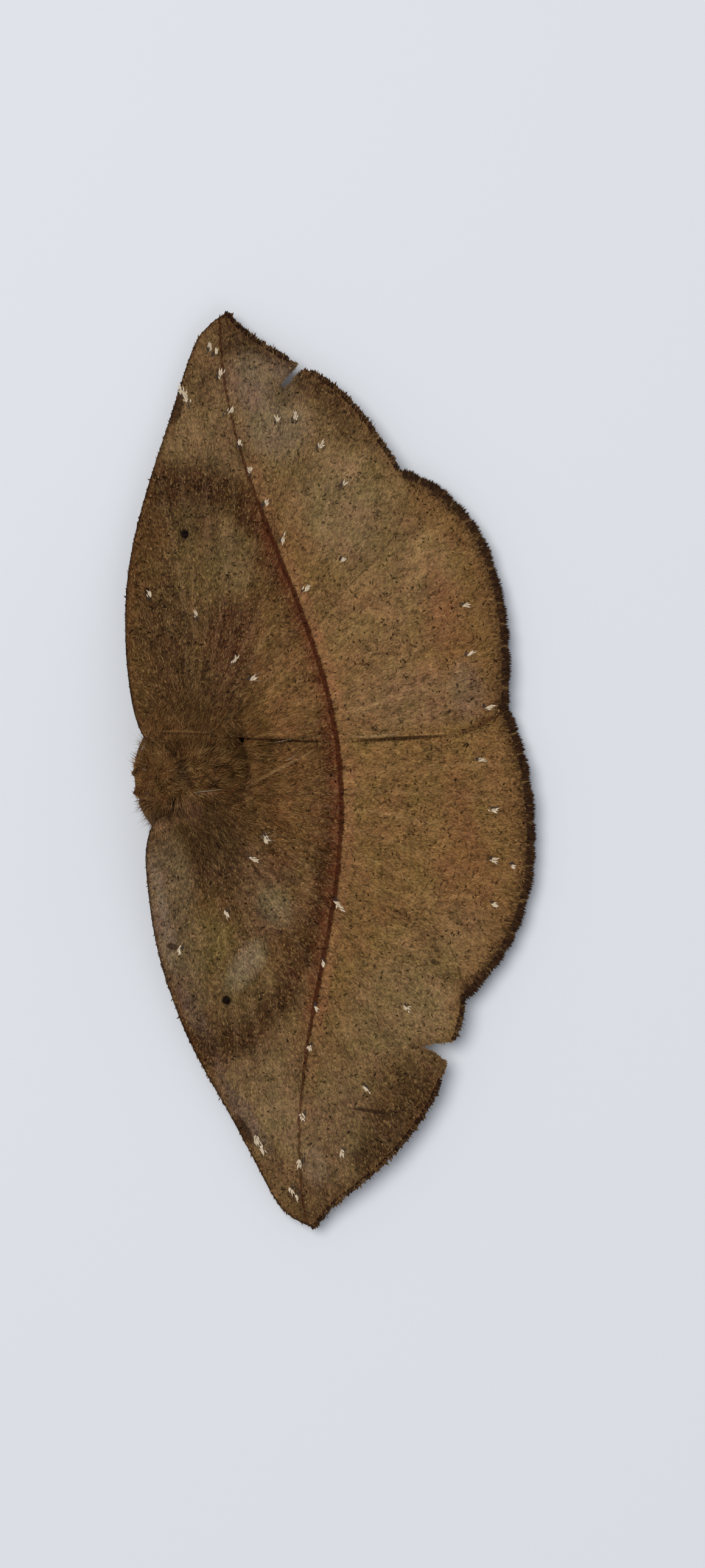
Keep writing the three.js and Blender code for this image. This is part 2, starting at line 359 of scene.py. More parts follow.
singlePatches = [
    ((-8.4, 7.3), (4.5, 2.4), 0, (76, 49, 35), 0.8),
    ((8.0, 7.6), (4.5, 2.6), 0, (104, 80, 60), 0.6),
    ((-9.6, 3.0), (5.0, 2.6), 0, (68, 47, 29), 0.6),
    ((-6.2, 10.2), (6.0, 3.0), 8, (114, 85, 53), 0.75),
    ((2.6, 10.4), (4.6, 2.6), 0, (100, 71, 42), 0.65),
    ((8.2, 9.8), (4.2, 2.0), -14, (104, 78, 52), 0.5),
    ((9.0, 1.9), (9.0, 2.1), 6, (112, 95, 74), 0.75),
    ((15.8, 7.0), (4.5, 2.2), -35, (106, 84, 58), 0.4),
    ((-3.6, 18.5), (2.8, 6.5), 0, (126, 101, 78), 0.5),
    ((-10.0, 17.0), (8.0, 6.0), 0, (122, 98, 70), 0.5),
    ((-25.2, 11.2), (3.4, 2.6), -30, (120, 104, 90), 0.6),
    ((-17.4, 5.0), (2.8, 4.4), -12, (60, 41, 24), 0.6),
    ((-16.2, 9.4), (4.0, 1.6), 22, (70, 46, 27), 0.5),
    ((-29.2, 9.8), (3.4, 3.0), 30, (58, 41, 25), 0.85),
    ((28.8, 8.8), (3.6, 3.0), 0, (84, 62, 40), 0.6),
    ((21.6, 15.6), (5.0, 3.4), -40, (80, 57, 34), 0.8),
    ((4.2, 4.4), (3.4, 2.8), 0, (54, 38, 24), 0.5),
    ((-10.2, 3.0), (4.0, 2.2), 0, (62, 43, 27), 0.45),
    ((-16.4, 15.0), (4.4, 3.2), 0, (138, 117, 88), 0.5),
    ((16.2, 17.0), (3.2, 2.6), 0, (138, 116, 84), 0.5),
    ((-12.0, 20.0), (3.6, 2.6), 0, (136, 110, 78), 0.45),
    ((22.6, 7.3), (3.6, 1.9), 25, (130, 110, 82), 0.5),
    ((24.2, 13.8), (3.2, 2.4), -40, (58, 41, 26), 0.65),
    ((28.4, 8.6), (2.2, 1.8), 0, (72, 53, 36), 0.6),
    ((4.7, 8.7), (2.4, 1.5), 0, (86, 56, 31), 0.65),
    ((-8.2, 6.9), (3.0, 1.6), 0, (74, 44, 25), 0.6),
    ((12.0, 20.2), (3.6, 2.4), 0, (132, 108, 78), 0.4),
    ((20.2, 7.5), (2.4, 1.2), 20, (136, 114, 82), 0.5),
    ((-25.6, 7.6), (3.2, 1.5), -20, (84, 64, 46), 0.45),
    ((8.2, 10.5), (2.6, 1.0), -14, (122, 92, 64), 0.5),
    ((12.2, 4.9), (1.8, 1.0), 0, (88, 66, 42), 0.4),
]
# Smaller ones with firmer edges, told in the same way.
firmPatches = [
    # painted sheen: the first three give the left forewing's front edge the grey-lilac shine it has where
    # its scales catch the sky light
    ((8.6, 1.0), (6.0, 1.0), 5, (126, 110, 96), 0.75),
    ((16.4, 2.7), (5.0, 0.95), 21, (96, 76, 66), 0.85),
    ((22.4, 5.1), (4.2, 0.9), 28, (100, 82, 72), 0.85),
    ((17.4, 5.6), (1.2, 2.0), 0, (70, 48, 27), 0.4),
    ((12.4, 8.5), (2.6, 1.4), 20, (82, 53, 30), 0.65),
    ((9.0, 8.4), (1.9, 1.6), 20, (122, 108, 84), 0.65),
    ((12.6, 6.2), (2.6, 1.2), -40, (134, 120, 98), 0.75),
    ((11.0, 4.0), (3.4, 2.2), 10, (108, 92, 54), 0.5),
    ((-13.6, 7.8), (3.0, 1.9), 15, (106, 88, 62), 0.55),
    ((-21.8, 11.5), (3.0, 2.8), 0, (132, 118, 98), 0.5),
    ((-23.9, 12.4), (1.5, 2.0), 0, (78, 60, 42), 0.55),
    ((-9.0, 20.8), (3.6, 1.5), 0, (118, 78, 50), 0.42),
    ((3.8, 20.9), (4.8, 1.5), 4, (118, 80, 52), 0.4),
    ((-3.6, 22.2), (2.5, 1.6), 0, (114, 95, 78), 0.6),
    ((0.0, 3.4), (1.2, 0.8), 0, (38, 25, 16), 0.7),
    ((-0.8, 5.7), (0.9, 0.5), 0, (40, 27, 17), 0.3),
    ((2.3, 3.4), (1.1, 1.5), 0, (94, 69, 54), 0.5),
    ((1.3, 4.4), (0.3, 1.3), 0, (118, 92, 68), 0.45),
    ((-1.6, 2.2), (1.0, 1.2), 30, (88, 70, 44), 0.25),
    ((-28.5, 9.8), (2.6, 2.4), -30, (58, 40, 26), 0.75),
    ((-27.2, 11.9), (1.9, 1.9), 0, (62, 43, 28), 0.65),
    ((-24.4, 14.4), (2.8, 1.8), 40, (68, 47, 29), 0.75),
    ((-21.6, 16.3), (3.0, 1.7), 25, (80, 58, 36), 0.6),
    ((-25.0, 9.7), (2.6, 1.6), 0, (122, 104, 90), 0.6),
    ((21.6, 16.4), (2.8, 1.9), -35, (64, 44, 27), 0.7),
    ((26.0, 9.3), (1.9, 1.1), 8, (126, 107, 90), 0.6),
    ((25.6, 13.2), (2.4, 1.5), -55, (64, 45, 28), 0.6),
]
# Marks drawn crisply across the scales, pigment and painted shadow and highlight at overlapping edges:
# (across, back), (reach across, reach back), turn, colour, strength.
inkAndEdgeLightMarks = [
    ((-15.68, 4.66), (0.44, 0.4), 0, (24, 16, 12), 1.0),
    ((14.52, 4.46), (0.42, 0.4), 0, (24, 16, 12), 1.0),
    ((-12.0, 1.95), (0.5, 0.3), 10, (30, 20, 14), 0.9),
    ((10.75, 1.35), (0.3, 0.55), -20, (46, 32, 21), 0.8),
    ((-23.9, 4.9), (1.5, 0.5), -25, (30, 20, 14), 0.8),
    ((23.1, 4.75), (1.5, 0.45), 25, (30, 20, 14), 0.8),
    ((13.4, 18.1), (0.2, 0.45), -20, (30, 20, 14), 0.7),
    ((22.6, 13.0), (0.16, 1.4), -14, (38, 25, 16), 0.75),
    ((18.7, 16.2), (0.22, 0.5), -20, (30, 20, 14), 0.6),
    ((-1.88, 9.1), (0.12, 4.6), -8, (48, 31, 18), 0.85),   # the forewings' inner edges: painted shadow and painted highlight along the steps where they lie over the hindwings
    ((-0.1, 9.6), (0.12, 2.9), 23, (140, 114, 80), 0.55),
    ((-2.95, 3.4), (0.11, 2.2), -7, (116, 90, 60), 0.4),
    ((-2.82, 3.5), (0.09, 2.2), -7, (44, 29, 18), 0.5),
    ((-1.2, 17.3), (0.15, 4.0), -2, (50, 32, 19), 0.85),   # where one hindwing lies on the other: painted shadow along the crease and its bend, painted highlight on the upper wing's edge
    ((-1.65, 22.5), (0.24, 2.1), 21, (76, 50, 30), 0.75),
    ((-1.52, 15.6), (0.11, 2.2), -2, (150, 126, 92), 0.6),
]


def wingColour(finish, where, margin, vein, under=False):
    # where: a point in metres; margin: distance from the fringed edge; vein: 1 on a vein
    plane = finish.vector("MULTIPLY_ADD", where, (1 / mm, 1 / mm, 0), (0, -headFront / mm, 0))
    cloud, cloudVector = finish.noise(plane, 0.45, 3.0)
    drift = finish.vector("MULTIPLY_ADD", cloudVector, (1.6, 1.6, 0), (-0.8, -0.8, 0))
    soft = finish.vector("ADD", plane, drift)
    ruffled = finish.vector("MULTIPLY_ADD", cloudVector, (0.5, 0.5, 0), plane)
    softX, softY, _ = finish.parts(soft)
    mirrored = finish.together(finish.math("ABSOLUTE", softX), softY)
    fine, _ = finish.noise(plane, 4.5, 2.0, 0.6)
    medium, _ = finish.noise(plane, 1.3, 3.0, 0.6)

    # dark line from wing to wing, drawn across the scales
    here = finish.vector("MULTIPLY_ADD", finish.objectPlace(), (1 / mm, 1 / mm, 0), (0, -headFront / mm, 0))
    sharpX, sharpY, _ = finish.parts(here)
    away = finish.math("ABSOLUTE", sharpX)
    bow = finish.math("COSINE", sharpX * (pi / markings["lineSpan"])) * markings["lineBow"]
    unevenness = (fine - 0.5) * 0.16 + (medium - 0.5) * 0.24 - 0.1
    past = sharpY - bow - markings["lineMiddle"] + unevenness
    beyond = finish.step(past, -0.1, 0.2)
    far = finish.step(away, 13.0, 24.0)
    thin = finish.math("ABSOLUTE", past) * (1 + far * 1.0)
    core = 1 - finish.step(thin, markings["lineWidth"], markings["lineWidth"] * 2.1)
    lineCore = core * (0.86 - far * 0.16)
    pinkEdge = (1 - finish.step(finish.math("ABSOLUTE", past - 0.5), 0.1, 0.55)) * (0.5 - far * 0.4)
    inside = finish.step(past, -2.6, -0.1) * (1 - beyond) * (1 - finish.step(away, 14.0, 20.0) * 0.85)
    beside = finish.step(past, -1.1, -0.2) * (1 - beyond) * (1 - finish.step(away, 15.0, 19.0))

    # the oval shade round the body
    firmX, firmY, _ = finish.parts(finish.vector("MULTIPLY_ADD", cloudVector, (0.9, 0.9, 0), plane))
    middleAcross, middleBack = markings["shadeCentre"]
    shadeAcross, shadeBack = markings["shadeReach"]
    ovalX = (firmX - middleAcross - 0.45) / shadeAcross
    ovalY = (firmY + firmX * markings["shadeTilt"] - middleBack - 0.45) / shadeBack
    oval = finish.math("SQRT", ovalX * ovalX + ovalY * ovalY)
    band = 1 - finish.step(finish.math("ABSOLUTE", oval - 1.0), 0.015, 0.11)

    outerColour = finish.mix(finish.step(away, 14.0, 22.0), seen(*markings["outer"]),
                              seen(*markings["outerTip"]))
    basal = finish.mix(finish.step(oval, 1.0, 1.15), seen(*markings["basal"]), seen(*markings["costal"]))
    colour = finish.mix(beyond, basal, outerColour)
    for patches, ground in ((pairedPatches, mirrored), (singlePatches, soft), (firmPatches, ruffled)):
        for centre, reach, turn, tint, strength in patches:
            colour = finish.mix(finish.patch(ground, centre, reach, turn) * strength, colour, seen(*tint))
    colour = finish.mix(band * 0.85 * (1 - beyond), colour, seen(*markings["shade"]))
    colour = finish.mix(inside * 0.3, colour, seen(*markings["insideLine"]))
    colour = finish.mix(beside * 0.6, colour, seen(*markings["besideLine"]))
    colour = finish.mix(pinkEdge, colour, seen(*markings["lineEdge"]))
    if under:
        colour = finish.mix(0.62, colour, seen(*markings["underside"]))

    # veins a little paler and pinker, with uneven mottling over all
    colour = finish.mix(vein * 0.16, colour, seen(*markings["vein"]))
    clouded = finish.step(cloud, 0.45, 0.75)
    colour = finish.scaled(colour, 0.3 + medium * 0.8 + fine * 0.6 + vein * 0.12 + clouded * 0.12)
    warm, _ = finish.noise(finish.vector("ADD", ruffled, (40.0, 7.0, 0)), 0.55, 3.0, 0.65)
    for low, high, tint in ((0.5, 0.66, (0.94, 1.06, 0.88)), (0.48, 0.34, (1.08, 0.94, 1.04))):
        colour = finish.mix(finish.step(warm, low, high) * 0.5, colour, finish.tinted(colour, tint))

    # long streaks that fan out from the hinge, as the scales lie between the veins
    fanX = away - 1.5
    fanY = sharpY - 4.5
    reach = finish.math("SQRT", fanX * fanX + fanY * fanY)
    fan = finish.together(finish.math("ARCTAN2", fanX, fanY) * markings["fanStreaks"], reach * 0.3)
    rays, _ = finish.noise(fan, 1.0, 3.0, 0.62)
    streaks, _ = finish.noise(finish.vector("MULTIPLY", ruffled, (1.0, 0.4, 0)), 3.2, 2.0, 0.7)
    pale = finish.step(rays, 0.54, 0.74) * 0.26 + finish.step(streaks, 0.58, 0.72) * 0.3
    dark = finish.step(rays, 0.46, 0.27) * 0.32 + finish.step(streaks, 0.42, 0.28) * 0.36
    colour = finish.scaled(colour, 1 + pale - dark)
    colour = finish.mix(pale * 0.3, colour, seen(*markings["streak"]))

    # dark flecks, one in most cells of a loose grid
    cells = finish.node("ShaderNodeTexVoronoi", {"voronoi_dimensions": "2D"}, {
        "Vector": ruffled, "Scale": markings["fleckDensity"]})
    cellShade = finish.parts(cells.outputs["Color"])
    dot = 1 - finish.step(Reading(finish, cells.outputs["Distance"]) + cellShade[1] * 0.16, 0.12, 0.34)
    dot = dot * finish.step(cellShade[0], 0.3, 0.7)
    colour = finish.mix(dot * 0.5, colour, seen(*markings["fleck"]))

    inkAndEdgeLight = lineCore * (0.4 if under else 1.0)
    colour = finish.mix(inkAndEdgeLight, colour, seen(*markings["line"]))
    # crisp marks over the colour: dark pigment marks, and the painted shadows and highlights along the
    # overlapping wing edges
    for centre, reach, turn, tint, strength in inkAndEdgeLightMarks:
        mark = finish.patch(here, centre, reach, turn, core=0.5) * (strength * (0.3 if under else 1))
        colour = finish.mix(mark, colour, seen(*tint))
        inkAndEdgeLight = finish.math("MAXIMUM", inkAndEdgeLight, mark)

    rim = 1 - finish.step(margin + (fine - 0.5) * 0.4, -0.1, 0.5)
    warmRim = 1 - finish.step(margin + (fine - 0.5) * 0.5, 0.3, 1.4)
    colour = finish.mix(warmRim * 0.35, colour, seen(*markings["warmMargin"]))
    inkAndEdgeLight = finish.math("MAXIMUM", inkAndEdgeLight, rim * 0.5)
    return finish.mix(rim * 0.94, colour, seen(*markings["margin"])), fine, inkAndEdgeLight


def skinFinish(name, gain):
    finish = Finish(name)
    margin, _ = finish.attribute("margin")
    vein, _ = finish.attribute("vein")
    colour, fine, _ = wingColour(finish, finish.objectPlace(), margin, vein)
    # painted shade: the skin is darkened so that where it shows between the scales it reads as shadow
    colour = finish.scaled(colour, 0.66 * gain)
    grain, _ = finish.noise(finish.placeInMm(), 9.0, 3.0, 0.6, flat=False)
    normal = finish.bump(grain, 0.04 * mm, 0.8)
    return finish.shader(colour, fine * 0.2 + 0.62, normal, Specular_IOR_Level=0.05)


def scaleFinish(name, gain, under=False, roughness=0.66, tip=0.2):
    finish = Finish(name)
    margin, _ = finish.attribute("margin")
    vein, _ = finish.attribute("vein")
    shade, _ = finish.attribute("shade")
    along, _ = finish.attribute("along")
    _, root = finish.attribute("root")
    colour, fine, inkAndEdgeLight = wingColour(finish, root, margin, vein, under)
    dim = finish.math("MINIMUM", shade, 0.0)
    colour = finish.scaled(colour, gain * (1 - tip * 0.4) + dim * (gain * 0.42) + along * (gain * tip))
    # pale scales are kept off the crisp marks, the dark line, the rim and the painted edge shadows and
    # highlights
    colour = finish.mix(shade * 0.26 * (1 - inkAndEdgeLight), colour, seen(*markings["paleScale"]))
    return finish.shader(colour, fine * 0.16 + roughness, None, Specular_IOR_Level=0.04)


# Scales and hairs as joined meshes.

def unit(vectors):
    return vectors / np.maximum(np.linalg.norm(vectors, axis=1, keepdims=True), 1e-12)


def meshFrom(name, points, faces, uvs, attributes):
    # points (n, 3); faces (m, 3); uvs: one pair for each point
    mesh = bpy.data.meshes.new(name)
    mesh.vertices.add(len(points))
    mesh.vertices.foreach_set("co", np.ascontiguousarray(points, np.float32).ravel())
    mesh.loops.add(faces.size)
    mesh.loops.foreach_set("vertex_index", np.ascontiguousarray(faces, np.int32).ravel())
    mesh.polygons.add(len(faces))
    mesh.polygons.foreach_set("loop_start", np.arange(0, faces.size, 3, dtype=np.int32))
    mesh.update(calc_edges=True)
    layer = mesh.uv_layers.new(name="OFBake")
    layer.data.foreach_set("uv", np.ascontiguousarray(uvs[faces.ravel()], np.float32).ravel())
    for key, values in attributes.items():
        addAttribute(mesh, key, values, "FLOAT_VECTOR" if values.ndim == 2 else "FLOAT")
    piece = bpy.data.objects.new(name, mesh)
    bpy.context.scene.collection.objects.link(piece)
    return piece


patchSize = 0.003  # how wide one tuft is on the OFBake map


def plantScales(name, roots, length, width, lift, thickness, shade):
    # Each scale is a flat closed blade of four faces with a ridge along it.
    # roots: dict of place, normal, heading, uv, margin, vein, with one row for each scale.
    normal = roots["normal"]
    heading = unit(roots["heading"] - normal * np.sum(roots["heading"] * normal, 1, keepdims=True))
    side = np.cross(normal, heading)
    count = len(normal)
    sizes = (length, width, lift, thickness)
    length, width, lift, thickness = (np.broadcast_to(size, count)[:, None] for size in sizes)
    low = roots["place"] - normal * thickness
    middle = low + heading * length * 0.45 + normal * (length * lift * 0.45 - thickness * 0.4)
    points = np.stack([
        low,
        middle - side * width / 2,
        low + heading * length + normal * length * lift,
        middle + side * width / 2,
    ], 1).reshape(-1, 3)
    corner = np.array([[0, 1, 2], [0, 2, 3], [0, 3, 1], [1, 3, 2]])
    faces = (np.arange(count)[:, None, None] * 4 + corner).reshape(-1, 3)
    turn = rng.uniform(0, 2 * pi, count)[:, None] + np.arange(4) * pi / 2
    spread = np.stack([np.cos(turn), np.sin(turn)], 2)
    uvs = (roots["uv"][:, None, :] + spread * patchSize / 2).reshape(-1, 2)
    attributes = {
        "root": np.repeat(roots["place"] + heading * length * 0.6, 4, 0),
        "margin": np.repeat(roots["margin"], 4),
        "vein": np.repeat(roots["vein"], 4),
        "shade": np.repeat(shade, 4),
        "along": np.tile([0.0, 0.4, 1.0, 0.4], count),
    }
    piece = meshFrom(name, points, faces, uvs, attributes)
    ends = readAll(piece.data.edges, "vertices", 2, np.int32) % 4
    isRim = np.abs(ends[:, 0] - ends[:, 1]) != 2
    piece.data.attributes.new("sharp_edge", "BOOLEAN", "EDGE").data.foreach_set("value", isRim)
    return piece


def plantHairs(name, roots, length, width, lift, curl, shade):
    # Each hair lock is a closed three-sided spike with a bend in it: ten faces.
    normal = roots["normal"]
    heading = unit(roots["heading"] - normal * np.sum(roots["heading"] * normal, 1, keepdims=True))
    side = np.cross(normal, heading)
    count = len(normal)
    sizes = (length, width, lift, curl)
    length, width, lift, curl = (np.broadcast_to(size, count)[:, None] for size in sizes)
    low = roots["place"] - normal * width * 0.8
    angles = np.arange(3) * 2 * pi / 3 + pi / 2
    rings = []
    for share, size in ((0.0, 0.8), (0.5, 1.0)):
        centre = low + heading * length * share + normal * length * lift * share * (1.3 - 0.6 * share)
        centre = centre + side * length * curl * share ** 2
        for angle in angles:
            rings.append(centre + (side * cos(angle) + normal * sin(angle) * 0.6) * width / 2 * size)
    tip = low + heading * length + normal * length * lift * 0.7 + side * length * curl
    points = np.stack(rings + [tip], 1).reshape(-1, 3)
    corner = [[0, 2, 1]]
    for i in range(3):
        j = (i + 1) % 3
        corner += [[i, j, 3 + j], [i, 3 + j, 3 + i], [3 + i, 3 + j, 6]]
    faces = (np.arange(count)[:, None, None] * 7 + np.array(corner)).reshape(-1, 3)
    turn = np.array([0, 120, 240, 60, 180, 300, 30]) * pi / 180
    reach = np.array([1, 1, 1, 0.6, 0.6, 0.6, 0.1])
    spread = np.stack([np.cos(turn) * reach, np.sin(turn) * reach], 1)
    uvs = (roots["uv"][:, None, :] + spread * patchSize / 2).reshape(-1, 2)
    attributes = {
        "root": np.repeat(roots["place"] + heading * length * 0.5, 7, 0),
        "margin": np.repeat(roots["margin"], 7),
        "vein": np.repeat(roots["vein"], 7),
        "shade": np.repeat(shade, 7),
        "along": np.tile([0, 0, 0, 0.5, 0.5, 0.5, 1.0], count),
    }
    return meshFrom(name, points, faces, uvs, attributes)


def scatter(mesh, count, keep=None, names=("margin", "vein")):
    # random places over the mesh's surface, with what is stored there
    mesh.calc_loop_triangles()
    corners = readAll(mesh.loop_triangles, "vertices", 3, np.int32)
    loops = readAll(mesh.loop_triangles, "loops", 3, np.int32)
    co = pointsOf(mesh)
    first, second, third = (co[corners[:, i]] for i in range(3))
    cross = np.cross(second - first, third - first)
    weight = np.linalg.norm(cross, axis=1)
    faceNormal = unit(cross)
    if keep is not None:
        weight = weight * keep((first + second + third) / 3, faceNormal)
    chosen = rng.choice(len(weight), count, p=weight / weight.sum())
    a, b = rng.random(count), rng.random(count)
    flip = a + b > 1
    a[flip], b[flip] = 1 - a[flip], 1 - b[flip]
    share = np.stack([1 - a - b, a, b], 1)
    normals = readAll(mesh.vertex_normals, "vector", 3)

    def blended(values, index):
        return np.einsum("ij,ij...->i...", share, values[index[chosen]])

    found = {"place": blended(co, corners), "normal": unit(blended(normals, corners))}
    if "OFBake" in mesh.uv_layers:
        found["uv"] = blended(readMap(mesh), loops)
    for name in names:
        found[name] = blended(readAttribute(mesh, name), corners)
    return found


wing = {
    "subdivisions": 3,
    "skinThickness": 0.06,
    "forewingDrop": 0.40,      # the skin lies this far below the top of its solid
    "hindwingDrop": 0.02,
    "creaseSink": 0.34,        # the right hindwing comes down onto the left one
    "forewingFringe": 0.26,
    "hindwingFringe": 0.55,
    "squeeze": 3.0,            # the skin draws in over this distance to leave room for the fringe
    "veinHeight": 0.05,
    "pleat": 0.05,
    "flatScales": 34500,
    "hairScales": 12000,
    "specks": 900,             # dark ones among the flat scales, lying across the veins
    "underScales": 15000,
    "scallop": 1.9,            # the fringe's lobes
    # how bright each wing's colours are made; the hindwings' higher gain is painted light that makes up for
    # the deeper shade among their scales
    "forewingGain": 1.0,
    "hindwingGain": 1.12,
    "forewingRoll": (0.26, 1.4),   # how far the inner edge bends down, and from how far away
    "hindwingRoll": (0.14, 0.7),
    "tipPush": (0.6, 1.8),     # how far the corner is drawn out, and from how far away
    "costaPush": (0.27, 2.5),  # the front edge moves forward, in the same way
    "fringeLayers": (          # share of the length, and how deep the layer sits
        (1.0, 0.0), (0.93, 0.04), (0.8, 0.07), (0.62, -0.03), (0.97, 0.02), (0.86, -0.01), (0.4, -0.04)),
    "fringeRoot": 0.14,        # the cilia start this far inside the margin
    "underMap": 0.4,           # the underside's share of the map
}
scaleKinds = {  # sizes in mm; spread and pale are for the scales' own shades
    "flat": {"length": (0.2, 0.36), "width": (0.09, 0.15), "lift": (0.04, 0.2), "thickness": 0.012,
             "spread": 0.7, "pale": 0.03},
    "hair": {"length": (0.32, 0.62), "width": (0.03, 0.055), "lift": (0.06, 0.2), "thickness": 0.014,
             "spread": 0.9, "pale": 0.09},
    "under": {"length": (0.3, 0.52), "width": (0.13, 0.2), "lift": (0.03, 0.12), "thickness": 0.012,
              "spread": 0.34, "pale": 0.03},
}
edgeKinds = {  # slant turns the scales along the edge; margin is the colour's distance from it
    "InnerEdge": {"layers": 4, "length": (0.24, 0.42), "width": (0.07, 0.13), "lift": (-0.12, 0.08),
                  "slant": 0.55, "margin": farFromMargin},
    "Costa": {"layers": 4, "length": (0.2, 0.36), "width": (0.06, 0.1), "lift": (-0.2, 0.02),
              "slant": 0.85, "margin": 0.2},
    "Tear": {"layers": 5, "length": (0.14, 0.26), "width": (0.05, 0.09), "lift": (-0.1, 0.1),
             "slant": 0.4, "margin": 0.7},
}
wingTips = {"forewing_right": (-30.2, 8.7), "forewing_left": (30.1, 8.6)}
# Tears in the forewing margins, as (across, back, radius): no fringe grows there.
tears = {
    "forewing_right": [(-26.6, 13.9, 0.6), (-25.6, 12.9, 1.0), (-24.75, 11.95, 1.0), (-17.7, 19.0, 0.95)],
    "forewing_left": [(19.9, 18.5, 1.35), (19.0, 17.6, 1.2)],
}
# Small bites in the fringe, as (across, back).
notches = {"forewing_left": [(28.2, 10.7), (27.3, 12.2), (26.0, 14.0)], "forewing_right": [(-22.3, 15.6)]}
hinges = {"forewing": (1.4, 3.6), "hindwing": (1.6, 6.2)}
veinAngles = {  # degrees from straight back, outwards
    "forewing": [22, 30, 38, 45.5, 53, 60, 66.5, 73, 79, 84, 88],
    "hindwing": [-4, 4, 13, 22, 31, 40, 49, 58],
}


def veinRelief(points, kind, side):
    # 1 on a vein and 0 between, with each vein narrowing outwards
    hingeAcross, hingeBack = hinges[kind]
    across = side * points[:, 0] - hingeAcross
    back = points[:, 1] - hingeBack
    reach = np.hypot(across, back)
    angle = np.degrees(np.arctan2(across, back)) + 2.2 * np.sin(reach / 4.0)
    relief = np.zeros(len(points))
    for vein in veinAngles[kind]:
        offset = np.abs(np.radians(angle - vein)) * reach
        relief = np.maximum(relief, np.clip(1 - offset / 0.22, 0, 1) ** 1.5)
    return relief * smoothStep(reach, 2.0, 6.0)


def boundaryLoop(mesh):
    # the outline's points in order
    counts = {}
    for polygon in mesh.polygons:
        for key in polygon.edge_keys:
            counts[key] = counts.get(key, 0) + 1
    neighbours = {}
    for (a, b), count in counts.items():
        if count == 1:
            neighbours.setdefault(a, []).append(b)
            neighbours.setdefault(b, []).append(a)
    loops = []
    left = set(neighbours)
    while left:
        start = min(left)
        left.discard(start)
        loop = [start]
        while True:
            onward = [n for n in neighbours[loop[-1]] if n in left]
            if not onward:
                break
            left.discard(onward[0])
            loop.append(onward[0])
        loops.append(loop)
    return max(loops, key=len)


def denser(path, spacing):
    lengths = np.concatenate([[0], np.cumsum(np.linalg.norm(np.diff(path, axis=0), axis=1))])
    at = np.arange(0, lengths[-1], spacing)
    return np.stack([np.interp(at, lengths, path[:, i]) for i in range(path.shape[1])], 1)


def nearestOn(path, points):
    # distance to the nearest point of a path, and which it is
    distance = np.full(len(points), 1e9)
    index = np.zeros(len(points), int)
    for start in range(0, len(points), 4000):
        part = slice(start, start + 4000)
        gap = np.hypot(path[None, :, 0] - points[part, None, 0], path[None, :, 1] - points[part, None, 1])
        index[part] = gap.argmin(1)
        distance[part] = gap.min(1)
    return distance, index


def isTorn(node, points):
    torn = np.zeros(len(points), bool)
    for across, back, radius in tears.get(node, []):
        torn |= np.hypot(points[:, 0] - across, points[:, 1] - back) < radius
    return torn


def outwardNormals(path, inside, smoothing):
    tangent = np.gradient(path, axis=0)
    normal = np.stack([tangent[:, 1], -tangent[:, 0]], 1)
    normal *= np.sign(np.sum(normal * (path - inside)))
    kernel = np.ones(smoothing) / smoothing
    padded = np.pad(unit(normal), ((smoothing, smoothing), (0, 0)), mode="edge")
    smooth = np.stack([np.convolve(padded[:, i], kernel, mode="same") for i in (0, 1)], 1)
    return unit(smooth[smoothing:-smoothing])


def outerMargin(outline, kind, side):
    # the part of the outline from the wing's outer corner to its rear inner corner
    across, back = side * outline[:, 0], outline[:, 1]
    start = int(np.argmax(across))
    end = int(np.argmax(back)) if kind == "forewing" else int(np.argmax(back - across))
    low, high = sorted((start, end))
    rest = np.concatenate([np.arange(high, len(outline)), np.arange(0, low + 1)])
    runs = [np.arange(low, high + 1), rest]
    return outline[max(runs, key=lambda run: back[run].mean() + across[run].mean())]


def drawnToTip(node, points):
    # the wing's corner drawn out to its tip
    push, reach = wing["tipPush"]
    toTip = np.array(wingTips[node]) - points
    gap = np.linalg.norm(toTip, axis=1)
    step = np.minimum(push * np.clip(1 - gap / reach, 0, 1) ** 1.5, gap * 0.8)
    return points + unit(toTip) * step[:, None]


